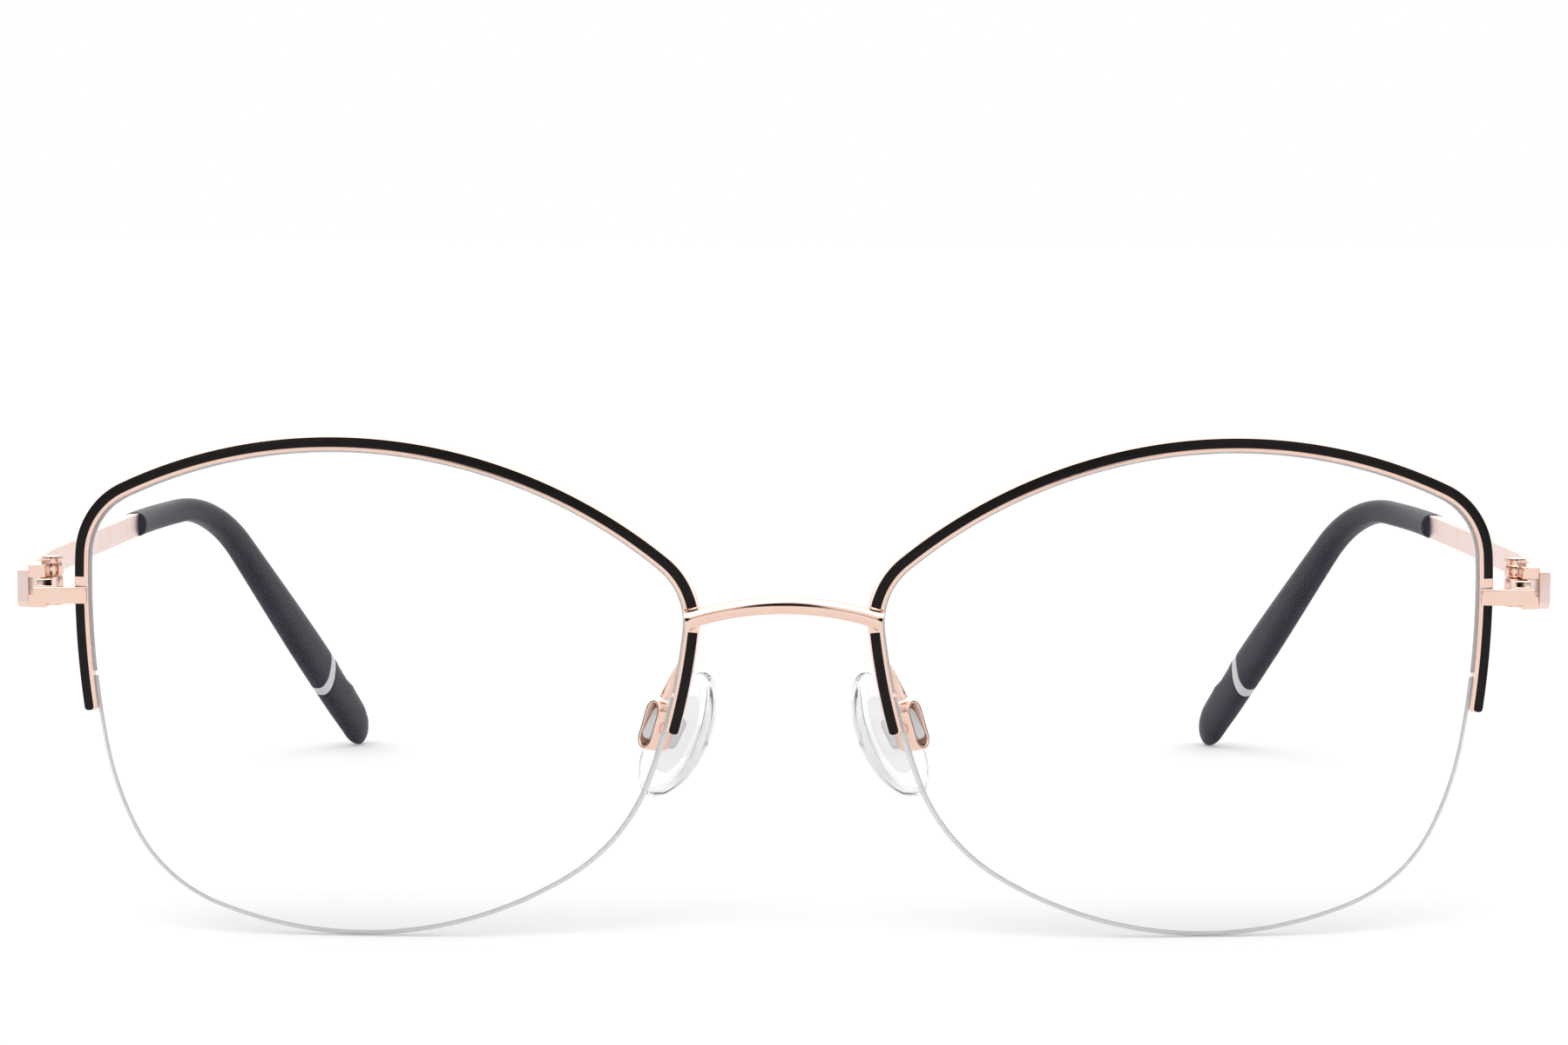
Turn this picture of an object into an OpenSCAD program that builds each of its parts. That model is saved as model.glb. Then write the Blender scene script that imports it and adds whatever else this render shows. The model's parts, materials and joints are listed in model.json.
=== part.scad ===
// Half-rim metal spectacles: two lenses hung from enamelled upper eyewires by nylon cords,
// an arched bridge, adjustable nose pads and folding temples with plastic tips.
// The frame stands on a table, on the undersides of its lenses and the ends of its tips.
// Millimetres. +Z up, the front looks along -Y, the wearer's left is +X.

/* [Lenses] */
// Width of a lens
lens_w = 54; // [50:0.5:58]
// Height of a lens
lens_h = 44; // [40:0.5:47]
// Distance between the two lenses
bridge_gap = 18; // [16:0.5:21]
// Thickness of a lens
lens_t = 2; // [1.8:0.1:2.2]
// Radius of the front surface of a lens
lens_curve = 130; // [110:5:180]
// Width of the groove round the edge of a lens
groove_w = 0.6; // [0.55:0.05:0.7]
// Depth of the groove round the edge of a lens
groove_d = 0.35; // [0.32:0.01:0.45]
// Forward lean of the lenses from upright, in degrees
face_tilt = 3; // [0:1:9]
// Turn of each lens towards the temple, in degrees
face_wrap = 4; // [2:0.5:6]

/* [Eyewires] */
// Width of an eyewire, seen from the front
wire_w = 1.2; // [1.1:0.05:1.4]
// Depth of an eyewire, front to back
wire_t = 1.9; // [1.8:0.05:2.2]
// How far an eyewire stands proud of the lens front
wire_proud = 0.3; // [0.2:0.05:0.4]
// Clearance between the lens edge and the eyewire
wire_clear = 0.05; // [0.03:0.01:0.08]
// Depth of the channel for the liner in the eyewire
channel_d = 0.4; // [0.35:0.01:0.45]
// Depth of the eyewire ends below the middle of the lens
wire_end_down = 2.5; // [0.5:0.1:4]
// Slope of the line through the two ends, up towards the temple, in degrees
wire_end_slope = 1.5; // [0:0.1:3]
// Width of the enamelled band
enamel_w = 0.8; // [0.6:0.05:0.85]
// Depth of the enamelled band
enamel_d = 0.2; // [0.15:0.01:0.25]
// Width of the bare edge outside the band
enamel_edge = 0.1; // [0.08:0.01:0.2]
// Bare length of eyewire beside each brazed joint
enamel_gap = 0.2; // [0.1:0.05:0.4]
// Bare length above the end piece
enamel_gap_top = 0.6; // [0.2:0.1:1]

/* [Nylon cords] */
// Diameter of the nylon cord under a lens
cord_d = 0.55; // [0.45:0.01:0.55]
// Length of cord that runs up inside each eyewire end
cord_hold = 3; // [2:0.5:5]

/* [Bridge] */
// Diameter of the bridge rod
bridge_d = 1.56; // [1.3:0.02:1.8]
// Rise of the bridge arch above its ends
bridge_rise = 1.7; // [1:0.1:3]
// Forward lean of the arch from upright, in degrees
bridge_lean = 30; // [0:5:45]
// Height of the bridge ends above the middle of the lens
bridge_up = 6.9; // [5:0.05:8]
// Depth to which the rod is brazed into the eyewires
braze = 0.25; // [0.15:0.01:0.35]

/* [End pieces and hinges] */
// Height of the end piece above the middle of the lens
end_up = 8.85; // [7.5:0.05:10]
// Height of the end piece bar
end_h = 1.5; // [1.3:0.05:2]
// Thickness of the end piece bar
end_t = 1.2; // [1:0.05:1.5]
// Distance from the eyewire to the hinge pin
hinge_out = 2.6; // [2.4:0.1:3.5]
// Distance from the front of the temple to the hinge pin
hinge_back = 3; // [2.8:0.1:4]
// Radius of the hinge knuckles
knuckle_r = 1.05; // [1.05:0.05:1.3]
// Height of the middle knuckle
tongue_h = 1.45; // [1.3:0.05:1.8]
// Height of each outer knuckle
knuckle_h = 1.15; // [0.9:0.05:1.4]
// Diameter of the hinge screw
screw_d = 1.2; // [1:0.05:1.3]
// Running clearance of the hinge screw, on the radius
screw_clear = 0.03; // [0.01:0.01:0.06]
// Gap between two hinge faces that slide on each other
hinge_gap = 0.05; // [0.03:0.01:0.08]

/* [Temples] */
// Height of a temple bar
bar_h = 2.3; // [2:0.1:2.8]
// Thickness of a temple bar
bar_t = 1; // [0.9:0.05:1.2]
// Upward slope of the bar from the hinge, in degrees
bar_rise = 0.1; // [0:0.1:2]
// Inward turn of the temple at the hinge, in degrees
toe_in = 1.5; // [0:0.1:2.5]
// Distance from the hinge to the mouth of the tip sleeve
sleeve_at = 53; // [50:1:62]
// Distance from the hinge to the start of the ear bend
bend_at = 73; // [70:0.5:80]
// Radius of the ear bend
bend_r = 36; // [30:1:42]
// Downward turn of the ear bend, in degrees
bend_turn = 32.8; // [30:0.2:36]
// Inward turn of the temple behind the ear, in degrees
hook_in = 11.7; // [7:0.1:13]

/* [Temple tips] */
// Height of the sleeve at its mouth
sleeve_h = 2.5; // [2.4:0.1:3]
// Thickness of the sleeve
sleeve_t = 2.5; // [2.4:0.1:3]
// Height of the sleeve where it is widest
paddle_h = 5.3; // [4.6:0.1:5.6]
// Length of the end piece of a tip
tip_l = 16.5; // [11:0.5:17]
// Width of the pale ring in front of it
ring_w = 1.8; // [1.2:0.1:2.4]
// Height of the core wire inside the tip
core_h = 1.3; // [1:0.1:1.5]
// Thickness of the core wire inside the tip
core_t = 0.8; // [0.6:0.05:0.9]
// Clearance round the core wire
core_clear = 0.05; // [0.03:0.01:0.1]

/* [Nose pads] */
// Length of a nose pad
pad_l = 12.4; // [12:0.2:15]
// Width of a nose pad
pad_w = 7.3; // [6.6:0.1:8]
// Thickness of a nose pad
pad_t = 2; // [1.8:0.1:2.4]
// Lean of the pad boxes towards each other at the top, in degrees
box_lean = 16; // [10:1:24]
// Further lean of the pads, which rock on their screws, in degrees
pad_rock = 12; // [4:1:14]
// Turn of the pads to the back, in degrees
pad_splay = 38; // [25:1:40]
// Distance of the pad box outside the lens edge
pad_out = 2.45; // [1.5:0.05:3]
// Distance of the pad box behind the lens front at the middle of the frame
pad_back = 8.2; // [7.6:0.1:10]
// Distance of the pad box below the middle of the lens
pad_down = 3.35; // [2:0.05:5]
// Height of the pad box
box_h = 4.6; // [4:0.1:5]
// Width of the pad box
box_w = 2.1; // [1.9:0.05:2.4]
// Length of the pad box
box_l = 2.4; // [2:0.1:2.8]
// Wall of the pad box
box_wall = 0.3; // [0.25:0.05:0.4]
// Diameter of the pad screw
pad_screw_d = 0.8; // [0.6:0.05:0.9]
// Diameter of the pad arm
arm_d = 0.9; // [0.7:0.05:1.1]

/* [Hidden] */

rose_gold = [0.93, 0.75, 0.66];
enamel_black = [0.12, 0.11, 0.11];
clear_glass = [0.86, 0.93, 0.96, 0.35];
clear_nylon = [0.93, 0.93, 0.9];
clear_silicone = [0.9, 0.94, 0.96, 0.5];
slate = [0.25, 0.26, 0.29];
pale_silver = [0.82, 0.82, 0.83];

$fn = 64;
fine = 360;
eps = 0.01;

// Lens shape: a ring of arcs that run into each other, anticlockwise from the temple side.
// Each has a radius and a turn. The radii of the top and of the lower nasal arc are
// worked out so that the ring closes, and the ring is then brought to the lens size.
shape_start = 80.2;
shape_turn = [11, 63, 66, 56, 14, 38, 53, 43, 16];
shape_r = [89.8, 6.2, 0, 6.5, 58, 0, 36, 13.8, 29.8];
top_arc = 2;
low_arc = 5;

function total(v, i = 0) = i < len(v) ? v[i] + total(v, i + 1) : [0, 0];
function chord(a, t) = [sin(a + t) - sin(a), cos(a) - cos(a + t)];
function cross2(a, b) = a[0] * b[1] - a[1] * b[0];

arcs = [0 : len(shape_turn) - 1];
head = [for (i = 0, a = shape_start; i < len(shape_turn); a = a + shape_turn[i], i = i + 1) a];
chords = [for (i = arcs) chord(head[i], shape_turn[i])];
left_open = -total([for (i = arcs) shape_r[i] * chords[i]]);
closing = cross2(chords[top_arc], chords[low_arc]);
top_r = cross2(left_open, chords[low_arc]) / closing;
low_r = cross2(chords[top_arc], left_open) / closing;
arc_r = [for (i = arcs) i == top_arc ? top_r : i == low_arc ? low_r : shape_r[i]];
arc_start = [for (i = 0, p = [0, 0]; i < len(arc_r); p = p + arc_r[i] * chords[i], i = i + 1) p];

function arc_steps(i) = ceil(shape_turn[i] / (arc_r[i] < 20 ? 6 : 2.6));
arc_marks = [for (i = arcs) for (j = [0 : arc_steps(i) - 1]) [i, shape_turn[i] * j / arc_steps(i)]];
raw_pts = [for (m = arc_marks) arc_start[m[0]] + arc_r[m[0]] * chord(head[m[0]], m[1])];
raw_x = [for (p = raw_pts) p[0]];
raw_z = [for (p = raw_pts) p[1]];
raw_size = [max(raw_x) - min(raw_x), max(raw_z) - min(raw_z)];
raw_mid = [max(raw_x) + min(raw_x), max(raw_z) + min(raw_z)] / 2;
fit = [lens_w / raw_size[0], lens_h / raw_size[1]];

function unit(v) = v / norm(v);
edge_pts = [for (p = raw_pts) [(p[0] - raw_mid[0]) * fit[0], (p[1] - raw_mid[1]) * fit[1]]];
edge_out = [for (m = arc_marks) let (a = head[m[0]] + m[1]) unit([sin(a) / fit[0], -cos(a) / fit[1]])];
edge_n = len(edge_pts);

// The lens outline moved outwards by d
function outline(d) = [for (i = [0 : edge_n - 1]) edge_pts[i] + d * edge_out[i]];
// Distance of the front surface behind its middle, at a point of the outline
function sag(p) = lens_curve - sqrt(lens_curve * lens_curve - p[0] * p[0] - p[1] * p[1]);

// Places in the frame, from a place measured at the middle of the left lens
lens_x = (lens_w + bridge_gap) / 2;
function turn_z(p, a) = [p[0] * cos(a) - p[1] * sin(a), p[0] * sin(a) + p[1] * cos(a), p[2]];
function turn_x(p, a) = [p[0], p[1] * cos(a) - p[2] * sin(a), p[1] * sin(a) + p[2] * cos(a)];
function turn_y(p, a) = [p[0] * cos(a) + p[2] * sin(a), p[1], p[2] * cos(a) - p[0] * sin(a)];
function lean_out(p) = turn_x(turn_z(p, face_wrap) + [lens_x, 0, 0], face_tilt);

// The nylon cord lies in the middle of the lens edge, and the frame stands on it
mid_t = lens_t / 2;
cord_r = cord_d / 2;
cord_in = groove_d - cord_r - 0.02;
cord_sides = 8;
function cord_at(i) = let (p = edge_pts[i] - cord_in * edge_out[i]) [p[0], sag(p) + mid_t, p[1]];
cord_top = cord_hold - wire_end_down;
cord_low = [for (i = [0 : edge_n - 1]) lean_out(cord_at(i))[2]];
face_h = cord_r * cos(180 / cord_sides) - min(cord_low);
function in_frame(p) = lean_out(p) + [0, 0, face_h];

// Point of the outline, moved out by d, that lies at height z on the temple side or the nose side
function next(i) = (i + 1) % edge_n;
function spans(i, z) = (edge_pts[i][1] - z) * (edge_pts[next(i)][1] - z) <= 0;
function side_point(z, s, d) =
    let (i = [for (k = [0 : edge_n - 1]) if (edge_pts[k][0] * s > 0 && spans(k, z)) k][0],
         t = (z - edge_pts[i][1]) / (edge_pts[next(i)][1] - edge_pts[i][1]))
    (1 - t) * (edge_pts[i] + d * edge_out[i]) + t * (edge_pts[next(i)] + d * edge_out[next(i)]);
// Place on the eyewire, b behind its front
function wire_at(z, s, b) = let (p = side_point(z, s, wire_clear + wire_w / 2))
    in_frame([p[0], sag(p) - wire_proud + b, p[1]]);

// Brazed joints on the eyewire, as heights on the lens
end_z = end_up / cos(face_tilt);
joint_z = bridge_up / cos(face_tilt);
end_face = wire_at(end_z, 1, 0);
bridge_face = wire_at(joint_z, -1, 0);

// End piece and hinge
rim_edge_x = in_frame([lens_w / 2 + wire_clear + wire_w, sag([lens_w / 2, end_z]), end_z])[0];
bar_z = face_h + end_up;
bar_front = end_face[1] - end_t + braze;
bar_rear = bar_front + end_t;
bar_reach = 1;
hinge_x = rim_edge_x + hinge_out;
hinge_y = bar_rear + 0.2 + hinge_back;
tongue_z = bar_z - end_h / 2 + 0.75;
tongue_t = 1.4;
low_knuckle_z = tongue_z - hinge_gap - knuckle_h;
high_knuckle_z = tongue_z + tongue_h + hinge_gap;
hinge_top = high_knuckle_z + knuckle_h;
screw_head_d = 1.9;
screw_head_h = 0.55;
slot_w = 0.3;
slot_d = 0.25;
slide = 0.5;

// Temple, measured from the hinge pin: x outwards, y back, z up from the middle of the bar
bar_in = knuckle_r + slide;
bar_mid = bar_in + bar_t / 2;
bar_step = 0.45;
bar_mid_z = hinge_top - bar_h / 2 + bar_step;
web_h = hinge_top - low_knuckle_z;
web_back = 2.8;
web_slope = 3.6;
corner = 0.5;
brow_back = 8;
bend_l = bend_r * bend_turn * PI / 180;
tail_slope = bend_turn - bar_rise;
in_from = bend_at - 19;
in_to = bend_at + 11;
// Place of the temple's middle line in plan, for a distance y back from the pin
function turned_in(y) = y < in_from ? 0
    : y < in_to ? tan(hook_in) * (y - in_from) * (y - in_from) / (2 * (in_to - in_from))
    : tan(hook_in) * (y - (in_from + in_to) / 2);
bend_y = bend_at * cos(bar_rise);
bend_z = bend_at * sin(bar_rise);
function bend_side(a) = [bend_y + bend_r * (sin(bar_rise) - sin(bar_rise - a)),
                         bend_z - bend_r * (cos(bar_rise) - cos(bar_rise - a))];
function side_line(s) = s < bend_at ? s * [cos(bar_rise), sin(bar_rise)]
    : s < bend_at + bend_l ? bend_side((s - bend_at) / bend_r * 180 / PI)
    : bend_side(bend_turn) + (s - bend_at - bend_l) * [cos(tail_slope), -sin(tail_slope)];
function line_at(s) = let (q = side_line(s)) [bar_mid - turned_in(q[0]), q[0], q[1]];
function along(s) = unit(line_at(s + 0.05) - line_at(s - 0.05));
function across(s) = unit(cross(along(s), [0, 0, 1]));
function upward(s) = cross(across(s), along(s));

// Half height of the tip, growing from its mouth to the paddle and round at its end
round_l = 4.6;
function ease(t) = let (u = min(max(t, 0), 1)) u * u * (3 - 2 * u);
function end_round(d) = sqrt(max(0, 1 - pow(max(0, 1 - d / round_l), 2)));
function tip_half_h(s, end) = let (g = ease((s - bend_at) / (end - tip_l - bend_at)))
    (sleeve_h + (paddle_h - sleeve_h) * g) / 2 * end_round(end - s);
function tip_half_t(s, end) = sleeve_t / 2 * end_round(end - s);
tip_sides = 16;
function oval(s, a, b) = [for (k = [0 : tip_sides - 1]) let (t = -360 * k / tip_sides,
        u = sign(cos(t)) * pow(abs(cos(t)), 0.8), v = sign(sin(t)) * pow(abs(sin(t)), 0.8))
    line_at(s) + a * u * across(s) + b * v * upward(s)];
function tip_ring_at(s, end) = oval(s, tip_half_t(s, end), tip_half_h(s, end));
function core_ring_at(s, gap) = oval(s, core_t / 2 + gap, core_h / 2 + gap);

// The tail is as long as it needs to be for the tip to touch the table
first_end = bend_at + bend_l + 50;
first_low = min([for (d = [0.2 : 0.4 : 6.2]) for (p = tip_ring_at(first_end - d, first_end)) p[2]]);
temple_end = first_end + (first_low + bar_mid_z) / sin(tail_slope);
ring_at = temple_end - tip_l - ring_w;
core_end = temple_end - tip_l + 8;

// Nose pad, measured from the middle of its box: x away from the nose, y back, z up
pad_mid = [bridge_gap / 2 + pad_out, pad_back, face_h - pad_down];
pad_gap = 0.7;
pad_face = -box_l / 2 - pad_gap;
pad_dome_r = 26;
core_plate_t = 0.6;
core_plate_in = 0.6;
core_share = 0.62;
lug_t = box_w - 2 * box_wall - 0.3;
lug_h = 2.2;
lug_reach = 0.9;
function from_pad(p) = turn_y(turn_z(p, -pad_splay), -box_lean) + pad_mid;
arm_r = arm_d / 2;
arm_z = 3.6;
arm_from = wire_at(arm_z, -1, wire_t - braze);
arm_to = from_pad([0.2, 0, box_h / 2 + arm_r - braze]);
arm_bow = [arm_from + [0, 3.6, 0.5], arm_to + [-0.6, -0.2, 1.6]];

// The origin lies under the middle of the frame's length
front_y = bridge_face[1] - bridge_d + braze - bridge_rise * sin(bridge_lean);
back_y = hinge_y + side_line(temple_end)[0];
mid_y = (front_y + back_y) / 2;

module on_table() { translate([0, -mid_y, 0]) children(); }
module on_left() { on_table() children(); }
module on_right() { on_table() mirror([1, 0, 0]) children(); }
module on_lens() {
    translate([0, 0, face_h]) rotate([face_tilt, 0, 0]) translate([lens_x, 0, 0])
        rotate([0, 0, face_wrap]) children();
}
module on_temple() { translate([hinge_x, hinge_y, bar_mid_z]) rotate([0, 0, toe_in]) children(); }
module on_pad() {
    translate(pad_mid) rotate([0, -box_lean, 0]) rotate([0, 0, -pad_splay]) children();
}
module on_rock() { on_pad() rotate([0, -pad_rock, 0]) children(); }

// Space inside the lens outline moved out by d
module inside(d) {
    translate([0, 40, 0]) rotate([90, 0, 0]) linear_extrude(60) polygon(outline(d));
}
// Space between two surfaces that follow the lens front, a and b behind it
module layer(a, b) {
    translate([0, lens_curve, 0]) difference() {
        sphere(lens_curve - a, $fn = fine);
        sphere(lens_curve - b, $fn = fine);
    }
}
// Band round the lens between the outline moved out by d and by e, a to b behind the front
module band(d, e, a, b) {
    intersection() {
        layer(a, b);
        difference() {
            inside(e);
            inside(d);
        }
    }
}
// Space above a line that crosses the middle of the lens at height z
module above(z) {
    translate([0, 0, z]) rotate([0, -wire_end_slope, 0]) translate([-lens_w, -20, 0])
        cube([2 * lens_w, 60, lens_h]);
}
// Slice of space between two heights on the temple side or the nose side of the lens
module slice(low, high, s) {
    translate([s > 0 ? 0 : -lens_w, -20, low]) cube([lens_w, 60, high - low]);
}
// Surface carried from ring to ring, with flat ends
module skin(rings, joined = false) {
    n = len(rings[0]);
    m = len(rings);
    pts = [for (r = rings) for (p = r) p];
    walls = [for (i = [0 : m - (joined ? 1 : 2)]) for (k = [0 : n - 1])
        let (a = i * n, b = ((i + 1) % m) * n, l = (k + 1) % n)
            for (f = [[a + k, a + l, b + l], [a + k, b + l, b + k]]) f];
    ends = joined ? [] : [
        for (k = [1 : n - 2]) [0, k + 1, k],
        for (k = [1 : n - 2]) [(m - 1) * n, (m - 1) * n + k, (m - 1) * n + k + 1]
    ];
    polyhedron(points = pts, faces = [for (f = concat(walls, ends)) [f[2], f[1], f[0]]]);
}
// Plate with two round ends, of length l and width w, standing along z
module rounded_bar(l, w) {
    square([w, l - w], center = true);
    for (s = [-1, 1]) translate([0, s * (l - w) / 2]) circle(d = w);
}

module lens() {
    color(clear_glass) difference() {
        intersection() {
            layer(0, lens_t);
            inside(0);
        }
        band(-groove_d, 1, mid_t - groove_w / 2, mid_t + groove_w / 2);
    }
}

// Band for the enamel, from a place in front of the eyewire's face down to its floor
module enamel_space(ahead = 0) {
    outer = wire_clear + wire_w - enamel_edge;
    difference() {
        intersection() {
            band(outer - enamel_w, outer, -wire_proud - ahead, enamel_d - wire_proud);
            above(-wire_end_down - ahead);
        }
        slice(end_z - end_h / 2 - enamel_gap, end_z + end_h / 2 + enamel_gap_top, 1);
        slice(joint_z - bridge_d / 2 - enamel_gap, joint_z + bridge_d / 2 + enamel_gap, -1);
    }
}

module enamel() { color(enamel_black) enamel_space(); }

module eyewire() {
    color(rose_gold) difference() {
        intersection() {
            band(wire_clear, wire_clear + wire_w, -wire_proud, wire_t - wire_proud);
            above(-wire_end_down);
        }
        intersection() {
            layer(mid_t - groove_w / 2, mid_t + groove_w / 2);
            inside(wire_clear + channel_d);
        }
        enamel_space(1);
    }
}

module rim_liner() {
    play = 0.02;
    color(clear_nylon) intersection() {
        band(play - groove_d, wire_clear + channel_d - play,
             mid_t - groove_w / 2 + play, mid_t + groove_w / 2 - play);
        above(cord_top + 0.3);
    }
}

module nylon_cord() {
    slope = tan(wire_end_slope);
    low = [for (i = [0 : edge_n - 1]) if (edge_pts[i][1] < cord_top + slope * edge_pts[i][0]) i];
    first = [for (i = low) if (edge_pts[i][0] < 0) i][0];
    count = len(low);
    order = [for (k = [0 : count - 1]) (first + k) % edge_n];
    function past(k) = order[min(max(k, 0), count - 1)];
    rings = [for (k = [0 : count - 1])
        let (p = cord_at(order[k]), t = unit(cord_at(past(k + 1)) - cord_at(past(k - 1))),
             o = edge_out[order[k]], u = unit(cross([o[0], 0, o[1]], t)), v = cross(t, u))
            [for (j = [0 : cord_sides - 1]) let (a = 360 * (j + 0.5) / cord_sides)
                p + cord_r * (cos(a) * u + sin(a) * v)]];
    color(clear_nylon) skin(rings);
}

module bridge() {
    half = bridge_gap / 2 - 0.1;
    arch_r = (half * half + bridge_rise * bridge_rise) / (2 * bridge_rise);
    arch_a = asin(half / arch_r);
    color(rose_gold) translate([0, bridge_face[1] - bridge_d / 2 + braze, bridge_face[2]])
        rotate([90 + bridge_lean, 0, 0]) translate([0, bridge_rise - arch_r, 0])
            rotate([0, 0, 90 - arch_a]) rotate_extrude(angle = 2 * arch_a)
                translate([arch_r, 0]) circle(d = bridge_d, $fn = 48);
}

module endpiece() {
    bar_l = hinge_x + bar_reach - end_face[0] + wire_w / 2;
    color(rose_gold) difference() {
        union() {
            translate([end_face[0] - wire_w / 2, bar_front, bar_z - end_h / 2])
                cube([bar_l, end_t, end_h]);
            translate([hinge_x - tongue_t / 2, bar_front + end_t / 2, tongue_z])
                cube([tongue_t, hinge_y - bar_front - end_t / 2, tongue_h]);
            translate([hinge_x, hinge_y, tongue_z]) cylinder(r = knuckle_r, h = tongue_h);
        }
        translate([hinge_x, hinge_y, tongue_z - 1])
            cylinder(r = screw_d / 2 + screw_clear, h = tongue_h + 2);
    }
}

// Upper and lower knuckle, brazed to the inner face of the temple
module hinge_knuckles() {
    color(rose_gold) for (z = [low_knuckle_z, high_knuckle_z]) translate([0, 0, z - bar_mid_z])
        difference() {
            union() {
                cylinder(r = knuckle_r, h = knuckle_h);
                translate([0, -hinge_back, 0]) cube([bar_in, hinge_back + knuckle_r, knuckle_h]);
            }
            translate([0, 0, -1]) cylinder(r = screw_d / 2 + eps, h = knuckle_h + 2);
        }
}

module hinge_screw() {
    top = hinge_top - bar_mid_z;
    color(rose_gold) difference() {
        union() {
            translate([0, 0, top - web_h]) cylinder(d = screw_d, h = web_h);
            translate([0, 0, top]) cylinder(d = screw_head_d, h = screw_head_h);
        }
        translate([-screw_head_d, -slot_w / 2, top + screw_head_h - slot_d])
            cube([2 * screw_head_d, slot_w, 1]);
    }
}

module temple_bar() {
    top = bar_h / 2;
    brow = top - bar_step;
    foot = brow - web_h;
    rise = tan(bar_rise);
    end_y = sleeve_at * cos(bar_rise);
    color(rose_gold) {
        translate([bar_in, 0, 0]) rotate([90, 0, 90]) linear_extrude(bar_t) polygon([
            [-hinge_back, foot + corner], [-hinge_back + corner, foot], [web_back, foot],
            [web_back + web_slope, -top + rise * (web_back + web_slope)],
            [end_y, -top + rise * end_y], [end_y, top + rise * end_y],
            [brow_back, top + rise * brow_back], [0, brow],
            [-hinge_back + corner, brow], [-hinge_back, brow - corner]
        ]);
        skin([for (k = [0 : 29]) core_ring_at(sleeve_at - 1 + (core_end - sleeve_at + 1) * k / 29, 0)]);
    }
}

module tip_sleeve() {
    mouth = sleeve_at + core_clear;
    steps = 23;
    stops = [for (k = [0 : steps]) mouth + (ring_at - mouth) * k / steps];
    color(slate) skin(concat(
        [for (s = stops) tip_ring_at(s, temple_end)],
        [for (k = [steps : -1 : 0]) core_ring_at(stops[k], core_clear)]
    ), joined = true);
}

module tip_ring() {
    stops = [ring_at, ring_at + ring_w];
    color(pale_silver) skin(concat(
        [for (s = stops) tip_ring_at(s, temple_end)],
        [for (k = [1, 0]) core_ring_at(stops[k], core_clear)]
    ), joined = true);
}

module tip_end() {
    from = ring_at + ring_w;
    hole = [for (k = [3 : -1 : 0]) from + (core_end + core_clear - from) * k / 3];
    body = [for (k = [0 : 6]) from + (tip_l - round_l) * k / 6];
    nose = [for (k = [1 : 7]) temple_end - round_l * (1 - sin(88 * k / 7))];
    color(slate) skin(concat(
        [for (s = hole) core_ring_at(s, core_clear)],
        [for (s = concat(body, nose)) tip_ring_at(s, temple_end)]
    ));
}

// Curve from one place to another, drawn towards two others on its way
function bow(a, b, c, d, t) = pow(1 - t, 3) * a + 3 * t * pow(1 - t, 2) * b
    + 3 * t * t * (1 - t) * c + pow(t, 3) * d;

module pad_arm() {
    steps = 14;
    function place(t) = bow(arm_from, arm_bow[0], arm_bow[1], arm_to, t);
    rings = [for (k = [0 : steps]) let (t = k / steps, w = unit(place(t + 0.01) - place(t - 0.01)),
            u = unit(cross(w, [1, 0, 0])), v = cross(w, u))
        [for (j = [0 : 7]) place(t) + arm_r * (cos(45 * j) * u + sin(45 * j) * v)]];
    color(rose_gold) skin(rings);
}

module pad_box() {
    color(rose_gold) difference() {
        translate([-box_l / 2, 0, 0]) rotate([90, 0, 90]) linear_extrude(box_l) difference() {
            rounded_bar(box_h, box_w);
            rounded_bar(box_h - 2 * box_wall, box_w - 2 * box_wall);
        }
        rotate([90, 0, 0]) cylinder(d = pad_screw_d + 2 * eps, h = 2 * box_w, center = true);
    }
}

module pad_screw() {
    head = 0.3;
    color(rose_gold) rotate([90, 0, 0]) {
        cylinder(d = pad_screw_d, h = box_w, center = true);
        translate([0, 0, box_w / 2]) cylinder(d = 1.6 * pad_screw_d, h = head);
    }
}

// Outline of a pad, egg shaped, wider below
function egg(l, w) = [for (a = [0 : 7.5 : 352.5]) let (t = 1 - 0.12 * sin(a))
    [w / 2 * cos(a) * t, l / 2 * sin(a)]];

module core_space() {
    translate([pad_face - core_plate_in - core_plate_t, 0, 0]) rotate([90, 0, 90])
        linear_extrude(core_plate_t) polygon(egg(core_share * pad_l, core_share * pad_w));
    translate([pad_face - core_plate_in - eps, -lug_t / 2, -lug_h / 2])
        cube([core_plate_in + eps, lug_t, lug_h]);
}

module pad_core() {
    color(clear_silicone) difference() {
        union() {
            core_space();
            translate([pad_face, -lug_t / 2, -lug_h / 2])
                cube([lug_reach - pad_face - lug_h / 4, lug_t, lug_h]);
        }
        rotate([90, 0, 0])
            cylinder(d = pad_screw_d + 2 * screw_clear, h = 2 * box_w, center = true);
    }
}

module nose_pad() {
    color(clear_silicone) difference() {
        intersection() {
            translate([pad_face - pad_t, 0, 0]) rotate([90, 0, 90])
                linear_extrude(pad_t) polygon(egg(pad_l, pad_w));
            translate([pad_face - pad_t + pad_dome_r, 0, 0]) sphere(pad_dome_r, $fn = 180);
        }
        core_space();
    }
}

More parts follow.
